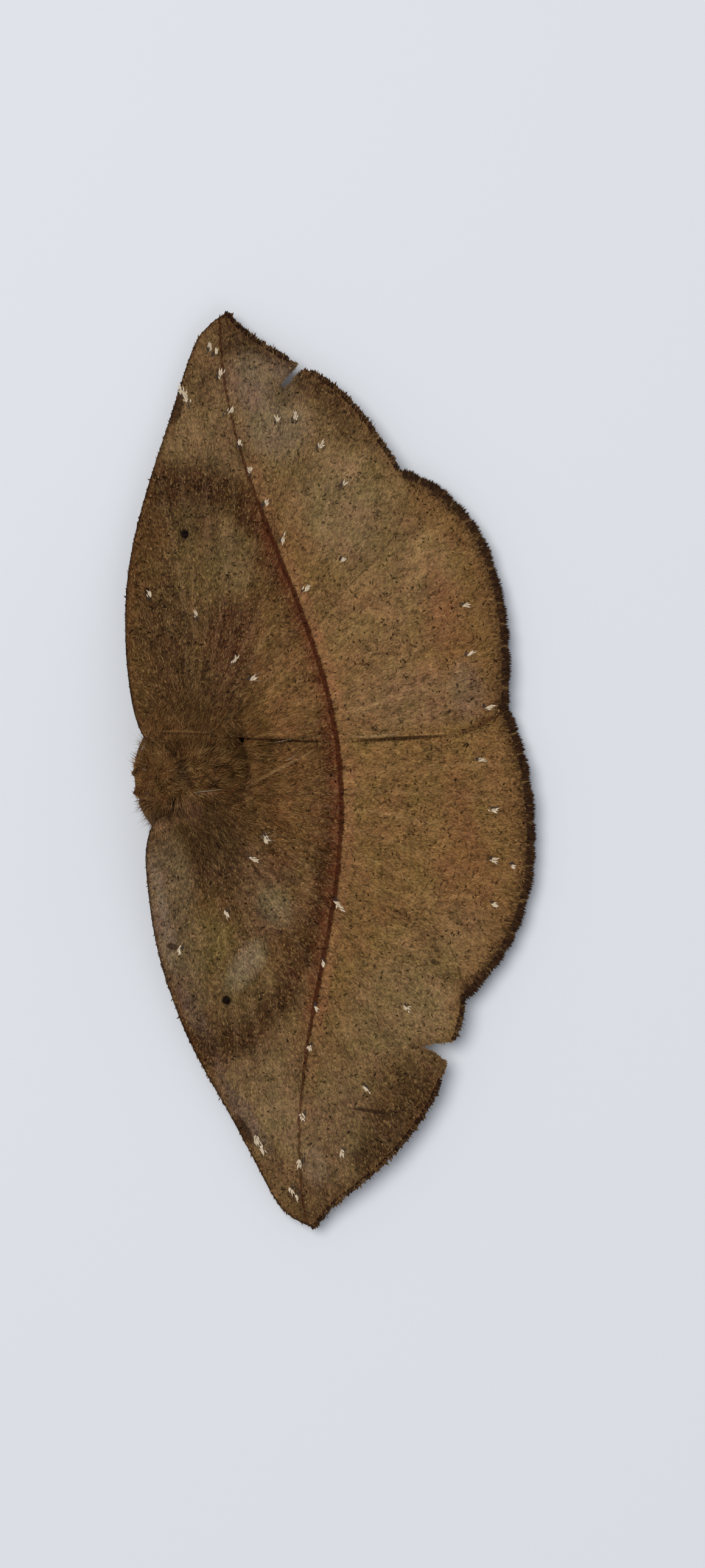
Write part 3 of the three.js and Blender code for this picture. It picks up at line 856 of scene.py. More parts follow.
def makeSheet(kind, sideName):
    # the wing's upper skin as an open sheet, with what the scales need to know
    side = 1 if sideName == "left" else -1
    node = f"{kind}_{sideName}"
    name = f"{kind}{sideName.title()}"
    skin = copyOfNode(node, f"{name}Skin")
    selectFaces(skin, lambda face: face.normal.z < 0.3)
    bpy.ops.mesh.delete(type="FACE")
    bpy.ops.mesh.select_all(action="SELECT")
    bpy.ops.mesh.tris_convert_to_quads(face_threshold=radians(40), shape_threshold=radians(60))
    bpy.ops.object.mode_set(mode="OBJECT")
    applyModifier(skin, "SUBSURF", levels=wing["subdivisions"], render_levels=wing["subdivisions"])
    mesh = skin.data
    points = toMoth(pointsOf(mesh))
    loop = boundaryLoop(mesh)

    # the outer margin draws in to leave room for the fringe
    depth = wing[f"{kind}Fringe"]
    margin = denser(outerMargin(points[loop][:, :2], kind, side), 0.05)
    margin = margin[~isTorn(node, margin)]
    outward = outwardNormals(margin, points[:, :2].mean(0), 25)
    distance, index = nearestOn(margin, points)
    pull = depth * np.clip(1 - distance / wing["squeeze"], 0, 1) ** 2
    points[:, :2] -= outward[index] * pull[:, None]
    margin = margin - outward * depth
    if node in wingTips:
        points[:, :2] = drawnToTip(node, points[:, :2])
        margin = drawnToTip(node, margin)

    # height in the solid, veins, pleats between them and a gentle unevenness
    relief = veinRelief(points, kind, side)
    sway = points[:, 0] * 0.9 + 1.3 * np.sin(points[:, 1] * 0.5)
    wave = np.sin(sway) * np.sin(points[:, 1] * 0.75 + side)
    points[:, 2] += relief * wing["veinHeight"] - wing["pleat"] + wave * 0.035 - wing[f"{kind}Drop"]
    if node == "hindwing_right":
        near = 1 - smoothStep(np.abs(points[:, 0]), 1.5, 6.0)
        points[:, 2] -= wing["creaseSink"] * near * smoothStep(points[:, 1], 6.2, 7.2)

    if kind == "forewing":
        ring = points[loop + loop[:1]][:, :2]
        isFront = inRange(side * ring[:, 0], 6, 28.5) & (ring[:, 1] < 1.6 + np.abs(ring[:, 0]) * 0.22)
        distance = nearestOn(denser(ring[isFront], 0.1), points)[0]
        push, reach = wing["costaPush"]
        outside = smoothStep(side * points[:, 0], 6, 14)
        points[:, 1] -= push * np.clip(1 - distance / reach, 0, 1) ** 1.5 * outside
    outline = denser(points[loop + loop[:1]][:, :2], 0.06)
    onward = np.roll(outline, -1, axis=0)
    area = np.sum(outline[:, 0] * onward[:, 1] - outline[:, 1] * onward[:, 0])
    tangent = unit(np.gradient(outline, axis=0))
    outlineOutward = np.stack([tangent[:, 1], -tangent[:, 0]], 1) * np.sign(area)
    isBare = nearestOn(margin, outline)[0] > 0.12
    bare, bareOutward = outline[isBare], outlineOutward[isBare]
    whole = ~isTorn(node, bare)
    if kind == "forewing":
        inner = whole & (bareOutward[:, 1] > 0.1) & (bare[:, 1] > 5.5)
    else:
        inner = whole & (side * bareOutward[:, 0] < -0.3) & (bare[:, 1] > 7.0)
    if node != "hindwing_left":
        roll, reach = wing[f"{kind}Roll"]
        points[:, 2] -= roll * np.clip(1 - nearestOn(bare[inner], points)[0] / reach, 0, 1) ** 2
    setPoints(mesh, points * mm + (0, headFront, 0))
    rim = nearestOn(margin, points)[0] * (0.42 if kind == "hindwing" else 2.0)
    front = whole & (bareOutward[:, 1] < -0.3) & (side * bare[:, 0] > 3.0)
    if kind == "forewing":
        rim = np.minimum(rim, nearestOn(bare[front], points)[0] * 1.7 + 0.04)
    addAttribute(mesh, "vein", relief)
    addAttribute(mesh, "margin", rim)
    addAttribute(mesh, "edge", nearestOn(bare, points)[0])
    unwrapSheet(skin)
    print(name, "sheet", len(mesh.polygons), "faces")
    return {
        "kind": kind, "side": side, "node": node, "name": name, "skin": skin, "depth": depth,
        "margin": margin, "outward": outward, "bare": bare, "bareOutward": bareOutward,
        "inner": inner, "front": front, "torn": ~whole,
    }


def unwrapSheet(skin):
    skin.data.uv_layers.new(name="OFBake")
    editWhole(skin, lambda: bpy.ops.uv.unwrap(method="CONFORMAL", margin=0.01))
    uv = readMap(skin.data)
    low = uv.min(0)
    writeMap(skin.data, (uv - low) / (uv - low).max() * 0.98 + 0.01)


def readMap(mesh):
    return readAll(mesh.uv_layers["OFBake"].data, "uv", 2).astype(float)


def writeMap(mesh, uv):
    mesh.uv_layers["OFBake"].data.foreach_set("uv", np.ascontiguousarray(uv, np.float32).ravel())


def turned(headings, angles):
    c, s = np.cos(angles), np.sin(angles)
    return np.stack([headings[:, 0] * c - headings[:, 1] * s, headings[:, 0] * s + headings[:, 1] * c,
                     headings[:, 2]], 1)


def alongVeins(sheet, moth):
    # from the hinge outwards, but along the bare edges beside them
    hingeAcross, hingeBack = hinges[sheet["kind"]]
    heading = unit(np.stack([moth[:, 0] - sheet["side"] * hingeAcross, moth[:, 1] - hingeBack,
                             np.zeros(len(moth))], 1))
    gap, index = nearestOn(sheet["bare"], moth)
    out = sheet["bareOutward"][index]
    beside = np.stack([-out[:, 1], out[:, 0], np.zeros(len(moth))], 1)
    beside *= np.sign(np.sum(beside * heading, 1))[:, None]
    share = (1 - smoothStep(gap, 0.1, 0.7))[:, None]
    return unit(heading * (1 - share) + beside * share)


def shades(count, spread=0.4, pale=0.04):
    # mostly near 0, with a few pale ones above 1
    shade = rng.normal(0, spread, count)
    return np.where(rng.random(count) < pale, rng.uniform(1.0, 2.4, count), shade)


def wingScales(sheet):
    mesh = sheet["skin"].data
    names = ("margin", "vein", "edge")
    count = wing["flatScales"] + wing["hairScales"]
    isHair = np.arange(count) >= wing["flatScales"]
    flat, hair = scaleKinds["flat"], scaleKinds["hair"]

    def either(size):
        return np.where(isHair, rng.uniform(*hair[size], count), rng.uniform(*flat[size], count))

    roots = scatter(mesh, count, None, names)
    isSpeck = np.arange(count) < wing["specks"]
    angles = rng.normal(0, 0.32, count) + np.where(rng.random(count) < 0.15, rng.normal(0, 0.9, count), 0)
    angles += np.where(isSpeck, rng.normal(pi / 2, 0.4, count), 0)
    roots["heading"] = turned(alongVeins(sheet, toMoth(roots["place"])), angles)
    roots["place"] = roots["place"] + roots["normal"] * (isSpeck * 0.03 * mm)[:, None]
    length = np.minimum(either("length"), roots["edge"] * 1.1 + 0.06) * mm
    width = either("width") * mm
    lift = either("lift")
    thickness = np.where(isHair, hair["thickness"], flat["thickness"]) * mm
    shade = np.where(isHair, shades(count, hair["spread"], hair["pale"]),
                     shades(count, flat["spread"], flat["pale"]))
    shade = np.where(isSpeck, rng.uniform(-2.1, -1.1, count), shade)
    top = plantScales(f"{sheet['name']}Scales", roots, length, width, lift, thickness, shade)
    finishPiece(top, wingMaterials[sheet["kind"]]["scales"], "wing_scale")

    count, under = wing["underScales"], scaleKinds["under"]
    roots = scatter(mesh, count, None, names)
    roots["heading"] = turned(alongVeins(sheet, toMoth(roots["place"])), rng.normal(0, 0.35, count))
    roots["place"] = roots["place"] - roots["normal"] * wing["skinThickness"] * mm
    roots["normal"] = -roots["normal"]
    length = np.minimum(rng.uniform(*under["length"], count), roots["edge"] * 1.1 + 0.06) * mm
    low = plantScales(f"{sheet['name']}UnderScales", roots, length, rng.uniform(*under["width"], count) * mm,
                      rng.uniform(*under["lift"], count), under["thickness"] * mm,
                      shades(count, under["spread"], under["pale"]))
    finishPiece(low, underMaterial, "wing_scale")


def onSheets(pieces, places):
    # the highest skin under each (across, back): height, normal, place on its map, and which skin it is
    count = len(places)
    heights, owners = np.full(count, np.nan), np.zeros(count, int)
    normals, spots = np.tile([0.0, 0.0, 1.0], (count, 1)), np.zeros((count, 2))
    for which, piece in enumerate(pieces):
        uv = readMap(piece.data)
        for i, (across, back) in enumerate(places[:, :2]):
            hit, spot, normal, index = piece.ray_cast(place(across, back, 20), Vector((0, 0, -1)))
            if hit and not spot.z / mm <= heights[i]:
                face = piece.data.polygons[index]
                heights[i], owners[i] = spot.z / mm, which
                normals[i], spots[i] = normal, uv[face.loop_start:face.loop_start + face.loop_total].mean(0)
    return heights, normals, spots, owners


def rootsAt(places, heights, normals, headings, uvs, marginValue):
    count = len(places)
    return {
        "place": np.column_stack([places[:, :2], heights]) * mm + (0, headFront, 0),
        "normal": normals,
        "heading": headings,
        "uv": uvs,
        "margin": np.full(count, marginValue),
        "vein": np.zeros(count),
    }


def wingFringe(sheet):
    # dark cilia in lobes along the outer margin, with pale ones between the lobes
    margin, outward, depth = sheet["margin"], sheet["outward"], sheet["depth"]
    count = len(margin)
    lobe = np.arange(count) * 0.05 / wing["scallop"]
    scallop = np.abs(np.cos(pi * lobe + 0.8 * np.sin(lobe * 1.7)))
    tangent = np.stack([-outward[:, 1], outward[:, 0]], 1)
    layers = []
    for share, sink in wing["fringeLayers"]:
        at = margin - outward * wing["fringeRoot"] + tangent * rng.uniform(-0.04, 0.04, (count, 1))
        away = outward + tangent * rng.normal(0, 0.15, (count, 1))
        length = (depth + wing["fringeRoot"]) * share * (0.74 + 0.26 * scallop ** 0.6)
        for across, back in notches.get(sheet["node"], []):
            gap = np.hypot(margin[:, 0] - across, margin[:, 1] - back)
            length = length * (1 - 0.85 * np.exp(-((gap - 0.2) / 0.22).clip(0) ** 2))
        layers.append((at, away, length, np.full(count, sink)))
    at, away, length, sink = (np.concatenate(part) for part in zip(*layers))
    heights = onSheets([sheet["skin"]], at)[0]
    keep = np.isfinite(heights)
    total = int(keep.sum())
    uvs = np.column_stack([np.tile(np.linspace(0.02, 0.98, count), len(layers)),
                           rng.uniform(0.02, 0.98, len(at))])
    level = np.tile([0.0, 0.0, 1.0], (total, 1))
    roots = rootsAt(at[keep], heights[keep] - sink[keep], level, np.column_stack([away, 0 * length])[keep],
                    uvs[keep], 0.0)
    pale = (np.tile(scallop, len(layers))[keep] < 0.1) | (rng.random(total) < 0.012)
    shade = np.where(pale, rng.uniform(1.2, 2.4, total), rng.normal(-0.6, 0.4, total))
    length = length[keep] * rng.uniform(0.74, 1.12, total) * mm
    fringe = plantScales(f"{sheet['name']}Fringe", roots, length, rng.uniform(0.08, 0.14, total) * mm,
                         rng.uniform(-0.14, 0.08, total), 0.014 * mm, shade)
    finishPiece(fringe, wingMaterials[sheet["kind"]]["scales"], "wing_scale")


def edgeScales(sheet, part, label):
    # soft scales that lap over a bare edge
    coat = edgeKinds[label]
    edge, outward = sheet["bare"][sheet[part]], sheet["bareOutward"][sheet[part]]
    insets = [rng.uniform(0.03, 0.4, (len(edge), 1)) for _ in range(coat["layers"])]
    at = np.concatenate([edge - outward * inset for inset in insets])
    away = np.tile(outward, (coat["layers"], 1))
    heights, normals, spots, _ = onSheets([sheet["skin"]], at)
    keep = np.isfinite(heights)
    at, away, heights, normals, spots = at[keep], away[keep], heights[keep], normals[keep], spots[keep]
    count = len(at)
    vein = alongVeins(sheet, at)
    beside = np.column_stack([-away[:, 1], away[:, 0], np.zeros(count)])
    beside *= np.sign(np.sum(beside * vein, 1))[:, None]
    share = np.clip(rng.normal(coat["slant"], 0.2, count), 0, 1.2)[:, None]
    heading = unit(np.column_stack([away, np.zeros(count)]) * (1 - share) + beside * share)
    roots = rootsAt(at, heights, normals, heading, spots, coat["margin"])
    piece = plantScales(f"{sheet['name']}{label}", roots, rng.uniform(*coat["length"], count) * mm,
                        rng.uniform(*coat["width"], count) * mm, rng.uniform(*coat["lift"], count),
                        0.012 * mm, shades(count, 0.36, 0.03))
    finishPiece(piece, wingMaterials[sheet["kind"]]["scales"], "wing_scale")


def closeSheet(sheet):
    # gives the skin its wall, with its underside apart on the map
    skin = sheet["skin"]
    applyModifier(skin, "SOLIDIFY", thickness=wing["skinThickness"] * mm, offset=-1.0)
    mesh = skin.data
    uv = readMap(mesh)
    normals = readAll(mesh.polygons, "normal", 3)
    up = np.repeat(normals[:, 2] > -0.2, readAll(mesh.polygons, "loop_total", 1, np.int32))
    uv[up, 1] += 0.995 - uv[:, 1].max()
    uv[~up] = uv[~up] * wing["underMap"] + 0.002
    writeMap(mesh, uv)
    pick(skin)
    bpy.ops.object.shade_smooth()
    finishPiece(skin, wingMaterials[sheet["kind"]]["skin"], "wing_scale", sheet["node"])


wingMaterials = {kind: {
    "skin": skinFinish(f"{kind}Skin", wing[f"{kind}Gain"]),
    "scales": scaleFinish(f"{kind}Scales", wing[f"{kind}Gain"]),
} for kind in ("forewing", "hindwing")}
underMaterial = scaleFinish("wingUnderside", 1.2, under=True)
sheets = {}
for kind in ("forewing", "hindwing"):
    for sideName in ("left", "right"):
        sheet = makeSheet(kind, sideName)
        sheets[sheet["node"]] = sheet
        wingScales(sheet)
        wingFringe(sheet)

for sheet in sheets.values():
    if sheet["node"] != "hindwing_left":
        edgeScales(sheet, "inner", "InnerEdge")
    if sheet["kind"] == "forewing":
        edgeScales(sheet, "front", "Costa")
        edgeScales(sheet, "torn", "Tear")
skins = [sheet["skin"] for sheet in sheets.values()]


body = {
    "voxel": 0.12,
    "bridge": 0.14,            # closes the thin gaps between the solids before they are merged
    "coatDepth": 0.25,
    "thoraxHairs": 8800,
    "shoulderHairs": 4200,
    "browHairs": 2000,
    "rearHairs": 2300,
    "crownHairs": 1500,
    "napeHairs": 2600,
    "foreheadHairs": 600,
    "headHairs": 3300,
    "abdomenScales": 2500,
    "wingBaseHairs": 2300,
    "seamHairs": 350,
    "lockPull": 1.5,
    "lockSpread": 0.75,
}

bodySkin = join([copyOfNode(node, node + "Copy") for node in ("head", "thorax", "abdomen")], "bodySkin")
editWhole(bodySkin, lambda: bpy.ops.transform.shrink_fatten(value=body["bridge"] * mm))
bodySkin.data.remesh_voxel_size = body["voxel"] * mm
bpy.ops.object.voxel_remesh()
applyModifier(bodySkin, "SMOOTH", factor=0.5, iterations=6)
inset = body["bridge"] + body["coatDepth"]
editWhole(bodySkin, lambda: bpy.ops.transform.shrink_fatten(value=-inset * mm))
bpy.ops.object.shade_smooth()
addPlainAttributes(bodySkin.data)


def unwrapSolid(piece):
    piece.data.uv_layers.new(name="OFBake")
    editWhole(piece, lambda: bpy.ops.uv.smart_project(angle_limit=radians(66), island_margin=0.01))


unwrapSolid(bodySkin)
finishPiece(bodySkin, skinFinish("bodySkin", 1.1), "body_fur", "head", "thorax", "abdomen")
print("body skin", len(bodySkin.data.polygons), "faces")
furMaterial = scaleFinish("bodyFur", 2.35, roughness=0.7, tip=0.5)


def domeFront(across):
    # the coat of the head ends at this rounded outline
    gap = across - 0.3
    return -0.2 + np.where(gap < 0, 0.075, 0.115) * gap ** 2


def growHairs(name, source, count, area, heading, length, width, lift, curl=0.2, pale=0.1, stray=0.3,
              level=0.0, material=None, locks=0):
    # level turns the hair from lying along the skin to lying flat; locks gather it into tufts
    roots = scatter(source.data, count, area)
    moth = toMoth(roots["place"])
    roots["heading"] = unit(heading(moth)) + rng.normal(0, stray, (count, 3))
    shade = shades(count, 0.75, pale)
    if locks:
        hubs = moth[rng.integers(0, count, locks)]
        nearest = np.linalg.norm(moth[:, None] - hubs, axis=2).argmin(1)
        roots["heading"] += (hubs[nearest] - moth) * body["lockPull"]
        shade += rng.normal(0.05, body["lockSpread"], locks)[nearest]
    roots["normal"] = unit(roots["normal"] + np.array([0.0, 0.0, level]))
    size = length(moth) * rng.uniform(0.65, 1.2, count)
    way = unit(roots["heading"])
    for _ in range(10):
        tip = moth + way * size[:, None]
        size = np.where(tip[:, 1] < domeFront(tip[:, 0]) + rng.uniform(0.02, 0.1, count), size * 0.85, size)
    hairs = plantHairs(name, roots, size * mm, width * rng.uniform(0.7, 1.3, count) * mm,
                       rng.uniform(*lift, count), rng.normal(0, curl, count), shade)
    finishPiece(hairs, material or furMaterial, "body_fur")


def headingOf(across, back, up=0.0):
    # a heading made of fields over the moth, all in its own directions
    return lambda moth: np.stack([across(moth), back(moth), np.full(len(moth), up)], 1)


def zone(back, up=-2.0, within=99.0, above=0.0, beyond=None):
    # an area by its range of back, how far it faces up, and its place to the sides
    def area(middles, normals):
        moth = toMoth(middles)
        across = np.abs(moth[:, 0])
        share = inRange(moth[:, 1], *back) * (normals[:, 2] > up) * (across < within) * (moth[:, 2] > above)
        return share * smoothStep(across, *beyond) if beyond else share
    return area


def thoraxArea(middles, normals):
    return inRange(toMoth(middles)[:, 1], 1.2, 7.4) * (0.2 + 0.8 * (normals[:, 2] > -0.1))


def browArea(middles, normals):
    # over the eyes; on one side the front of the eye stays free
    moth = toMoth(middles)
    isFree = inRange(moth[:, 0], 0.6, 1.5) & (moth[:, 1] < 0.6)
    return ~isFree * zone((0.0, 2.0), 0.3, beyond=(0.4, 0.9))(middles, normals)


growHairs("thoraxHair", bodySkin, body["thoraxHairs"], thoraxArea,
          headingOf(lambda m: m[:, 0] * (0.3 + 0.5 * (1 - smoothStep(m[:, 1], 2.0, 5.0))),
                    lambda m: 0.1 + 0.9 * smoothStep(m[:, 1], 1.2, 3.0)),
          lambda m: 0.5 + 0.6 * smoothStep(m[:, 1], 2.5, 6.0), 0.052, (0.08, 0.36), level=0.8, locks=420)
growHairs("shoulderHair", bodySkin, body["shoulderHairs"], zone((0.5, 4.2), 0.25, beyond=(0.6, 1.2)),
          headingOf(lambda m: np.sign(m[:, 0]), lambda m: (m[:, 1] - 2.2) * 0.4),
          lambda m: 1.05 + 0.4 * smoothStep(m[:, 1], 0.8, 2.0), 0.055, (-0.16, 0.12),
          curl=0.3, pale=0.06, level=1.5, locks=160)
growHairs("browHair", bodySkin, body["browHairs"], browArea,
          headingOf(lambda m: 0.9 * np.sign(m[:, 0]), lambda m: (m[:, 1] - 1.4) * 0.45),
          lambda m: 1.2 + 0.5 * smoothStep(m[:, 1], 0.3, 1.0), 0.05, (-0.3, 0.06),
          curl=0.3, pale=0.06, level=2.0)
# painted light: the hair at the back of the thorax gets a brighter finish, to make up for the shade on its
# backward slope
growHairs("rearHair", bodySkin, body["rearHairs"], zone((5.2, 7.4), -0.4, above=3.6),
          headingOf(lambda m: m[:, 0] * 0.3, lambda m: np.ones(len(m))),
          lambda m: 0.8 + 0.35 * smoothStep(m[:, 1], 5.5, 7.0), 0.055, (0.0, 0.3), pale=0.08, level=0.8,
          material=scaleFinish("rearFur", 4.4, roughness=0.7, tip=0.45), locks=120)
growHairs("crownHair", bodySkin, body["crownHairs"], zone((-0.4, 1.4), -0.2, within=1.1),
          headingOf(lambda m: m[:, 0] * 0.3 + rng.normal(0, 0.7, len(m)),
                    lambda m: 0.35 + rng.normal(0, 0.6, len(m))),
          lambda m: np.full(len(m), 0.4), 0.055, (0.1, 0.5), curl=0.4, stray=0.3)
growHairs("foreheadHair", bodySkin, body["foreheadHairs"], zone((-9.0, 0.5), -0.1, within=0.5),
          headingOf(lambda m: m[:, 0] * 0.2, lambda m: -np.ones(len(m))),
          lambda m: np.full(len(m), 0.5), 0.055, (0.0, 0.35), curl=0.3, stray=0.35, level=0.6)
growHairs("napeHair", bodySkin, body["napeHairs"], zone((1.2, 4.4), 0.1, within=1.4),
          headingOf(lambda m: m[:, 0] * 0.4 + rng.normal(0, 0.5, len(m)),
                    lambda m: 0.8 + rng.normal(0, 0.3, len(m))),
          lambda m: np.full(len(m), 0.62), 0.06, (0.04, 0.26), curl=0.3, pale=0.06, locks=120)
growHairs("headHair", bodySkin, body["headHairs"], zone((-1.0, 1.8)),
          headingOf(lambda m: m[:, 0] * 0.6, lambda m: -0.5 + 0.8 * smoothStep(m[:, 1], 0.0, 1.0)),
          lambda m: 0.3 + 0.25 * smoothStep(m[:, 1], 0.4, 1.2), 0.055, (0.1, 0.7), curl=0.4, stray=0.8)
growHairs("abdomenScales", bodySkin, body["abdomenScales"], zone((7.0, 30.0)),
          headingOf(lambda m: m[:, 0] * 0.05, lambda m: np.ones(len(m))),
          lambda m: np.full(len(m), 0.45), 0.09, (0.05, 0.22), stray=0.15)


baseHair = {  # mm from the hinge where it starts and ends, and how far it points outwards
    "forewing": {"hidden": 0.2, "reach": 5.4, "outwards": 0.9},
    "hindwing": {"hidden": 0.3, "reach": 5.6, "outwards": 0.25},
}


def nearHinge(sheet, hidden, reach):
    # for the hair that spreads from the thorax over the wing bases
    hingeAcross, hingeBack = hinges[sheet["kind"]]
    hub = np.array([sheet["side"] * hingeAcross * 0.6, hingeBack])

    def area(middles, normals):
        moth = toMoth(middles)
        gap = np.hypot(moth[:, 0] - hub[0], moth[:, 1] - hub[1])
        return np.clip(1 - gap / reach, 0, 1) ** 1.3 * smoothStep(gap, hidden, hidden + 1.2)
    return area


def nearSeam(across, back):
    # the hollow where three of the skins meet is covered from all sides
    def area(middles, normals):
        moth = toMoth(middles)
        return (np.hypot(moth[:, 0] - across, moth[:, 1] - back) < 1.0) * (normals[:, 2] > 0.0)
    return area


for name, source, spot, way, lift in (
        ("seamHairLow", sheets["hindwing_left"]["skin"], (-1.8, 7.3), (0.1, 1.0), (0.45, 0.9)),
        ("seamHairWing", sheets["forewing_right"]["skin"], (-2.7, 6.5), (0.9, 0.55), (0.05, 0.3)),
        ("seamHairBody", bodySkin, (-1.5, 6.4), (-0.7, 0.9), (0.1, 0.4))):
    growHairs(name, source, body["seamHairs"], nearSeam(*spot),
              headingOf(lambda m: np.full(len(m), way[0]), lambda m: np.full(len(m), way[1])),
              lambda m: np.full(len(m), 0.95), 0.05, lift)
for sheet in sheets.values():
    side = sheet["side"]
    base = baseHair[sheet["kind"]]
    growHairs(f"{sheet['name']}BaseHair", sheet["skin"], body["wingBaseHairs"],
              nearHinge(sheet, base["hidden"], base["reach"]),
              headingOf(lambda m: side * base["outwards"] + m[:, 0] * 0.08, lambda m: 0.35 + m[:, 1] * 0.1),
              lambda m: np.full(len(m), 0.85), 0.05, (0.06, 0.26), curl=0.3)
    closeSheet(sheet)


# Cream tufts with dark flecks, and stray pale hairs, on the wings and the body.
tuft = {
    "scales": 13,
    "flecks": 7,
    "length": 0.34,
    "width": 0.1,
    "cream": (0.76, 0.62, 0.44),
    "tan": (0.56, 0.42, 0.28),
    "fleck": (40, 26, 17),
    "strayHair": (0.05, 0.14, -2.5),  # width, lift and shade
}
# (across, back, size)
creamSpots = [
    (-25.8, 7.9, 1.0), (-23.3, 8.3, 1.1), (-21.1, 8.8, 0.7), (-19.3, 9.3, 0.8), (-17.1, 10.0, 0.8),
    (-14.6, 10.9, 1.0), (-11.3, 12.1, 1.1), (-24.5, 5.6, 1.9), (-24.9, 5.3, 1.3), (-27.6, 7.4, 0.9),
    (-27.2, 7.7, 0.7), (-22.4, 11.3, 0.8), (-22.5, 12.5, 1.0), (-20.5, 13.9, 1.1), (-11.9, 2.1, 0.9),
    (-10.3, 5.0, 0.9), (-7.1, 7.1, 1.1), (-5.9, 8.1, 1.1), (-9.4, 22.2, 0.9), (-6.2, 22.2, 0.9),
    (-2.7, 23.0, 0.9), (-13.0, 14.6, 0.6), (-17.9, 15.2, 0.7), (9.0, 12.2, 1.5), (12.7, 10.9, 0.9),
    (15.5, 10.1, 0.7), (18.0, 9.5, 1.0), (22.4, 8.6, 0.9), (25.4, 8.1, 1.1), (23.8, 5.5, 1.9),
    (24.4, 5.8, 1.2), (27.2, 7.4, 1.0), (27.6, 7.7, 0.8), (10.9, 1.8, 0.9), (8.8, 5.0, 0.9),
    (5.6, 7.0, 1.3), (4.3, 8.0, 1.2), (21.1, 12.8, 0.9), (25.1, 10.9, 0.9), (16.1, 15.9, 0.9),
    (19.3, 17.9, 0.9), (0.7, 22.2, 0.9), (4.0, 22.8, 0.9), (7.2, 22.4, 0.8), (10.1, 22.2, 0.8),
    (7.7, 23.6, 0.7),
]
# long pale hairs: (across, back), (across, back) of the tip
strayHairs = [
    ((1.0, 3.4), (0.9, 5.7)), ((0.8, 6.9), (0.15, 8.2)), ((-0.4, 9.6), (-0.8, 10.6)),
    ((0.75, 7.0), (0.2, 8.1)), ((4.2, 7.6), (4.6, 8.7)), ((4.2, 7.6), (3.9, 8.6)),
    ((4.2, 7.6), (4.25, 8.8)), ((-5.9, 7.9), (-6.3, 8.8)), ((-5.9, 7.9), (-5.7, 8.8)),
    ((-1.7, 9.0), (-1.8, 10.4)),
]


def tuftFinish():
    finish = Finish("creamTufts")
    shade, _ = finish.attribute("shade")
    along, _ = finish.attribute("along")
    grain, _ = finish.noise(finish.placeInMm(), 6.0, 2.0, 0.5, flat=False)
    cream = finish.scaled(finish.mix(grain, tuft["cream"], tuft["tan"]), 0.9 + shade * 0.12 + along * 0.15)
    colour = finish.mix(finish.step(shade, -3.0, -2.0), seen(*tuft["fleck"]), cream)
    return finish.shader(colour, grain * 0.2 + 0.5, None, Specular_IOR_Level=0.3)


def plantTufts():
    rows = []  # across, back, heading, length, width, lift and shade of each scale
    for across, back, size in creamSpots:
        side = np.sign(across)
        hinge = hinges["hindwing" if back > 17 or abs(across) < 3.5 else "forewing"]
        out = np.array([across - side * hinge[0], back - hinge[1], 0.0])
        out = turned(unit(out[None]), rng.normal(0, 0.25, 1))[0]
        aside = np.array([-out[1], out[0], 0.0])
        for isFleck, count in ((False, int(tuft["scales"] * size)), (True, tuft["flecks"])):
            for _ in range(count):
                along, beside = rng.normal(0, 0.11 * size), rng.normal(0, 0.055 * size)
                if isFleck:
                    along, beside = along - 0.22 * size, beside + 0.16
                spot = np.array([across, back]) + out[:2] * along + aside[:2] * beside
                heading = turned(out[None], rng.normal(0, 0.3, 1))[0]
                length = tuft["length"] * rng.uniform(0.6, 1.2) * (0.7 if isFleck else 1)
                width = tuft["width"] * rng.uniform(0.7, 1.2)
                lift = rng.uniform(0.1, 0.3) if isFleck else rng.uniform(0.2, 0.55)
                shade = -4.0 if isFleck else rng.normal(0, 0.8)
                rows.append((*spot, *heading, length, width, lift, shade))
    for (across, back), (tipAcross, tipBack) in strayHairs:
        way = np.array([tipAcross - across, tipBack - back, 0.0])
        rows.append((across, back, *unit(way[None])[0], np.linalg.norm(way), *tuft["strayHair"]))
    rows = np.array(rows)
    heights, normals, spots, owners = onSheets(skins + [bodySkin], rows)
    material = tuftFinish()
    for which, owner in enumerate(skins + [bodySkin]):
        keep = np.isfinite(heights) & (owners == which)
        if keep.any():
            kept = rows[keep]
            roots = rootsAt(kept, heights[keep] + 0.04, normals[keep], kept[:, 2:5], spots[keep],
                            farFromMargin)
            length, width, lift, shade = kept[:, 5:].T
            piece = plantScales(owner.name.replace("Skin", "Tufts"), roots, length * mm, width * mm, lift,
                                0.02 * mm, shade)
            finishPiece(piece, material, "wing_scale")
    print("cream tufts", len(rows), "scales")


plantTufts()


eyes = {"dark": (0.007, 0.004, 0.003), "glint": (0.03, 0.017, 0.01), "facetScale": 26.0, "roughness": 0.24}
eyeFinish = Finish("eyeDark")
eyePlace = eyeFinish.placeInMm()
facets = eyeFinish.node("ShaderNodeTexVoronoi", None, {"Vector": eyePlace, "Scale": eyes["facetScale"]})
glint, _ = eyeFinish.noise(eyePlace, 1.6, 2.0, 0.5, flat=False)
eyeColour = eyeFinish.mix(glint, eyes["dark"], eyes["glint"])
eyeBump = eyeFinish.bump(facets.outputs["Distance"], -0.012 * mm, 0.5)
eyeMaterial = eyeFinish.shader(eyeColour, glint * 0.1 + eyes["roughness"], eyeBump, Specular_IOR_Level=0.22)
for sideName in ("left", "right"):
    eye = copyOfNode(f"eye_{sideName}", f"eye{sideName.title()}")
    applyModifier(eye, "SUBSURF", levels=2, render_levels=2)
    bpy.ops.object.shade_smooth()
    finishPiece(eye, eyeMaterial, "eye_dark", f"eye_{sideName}")


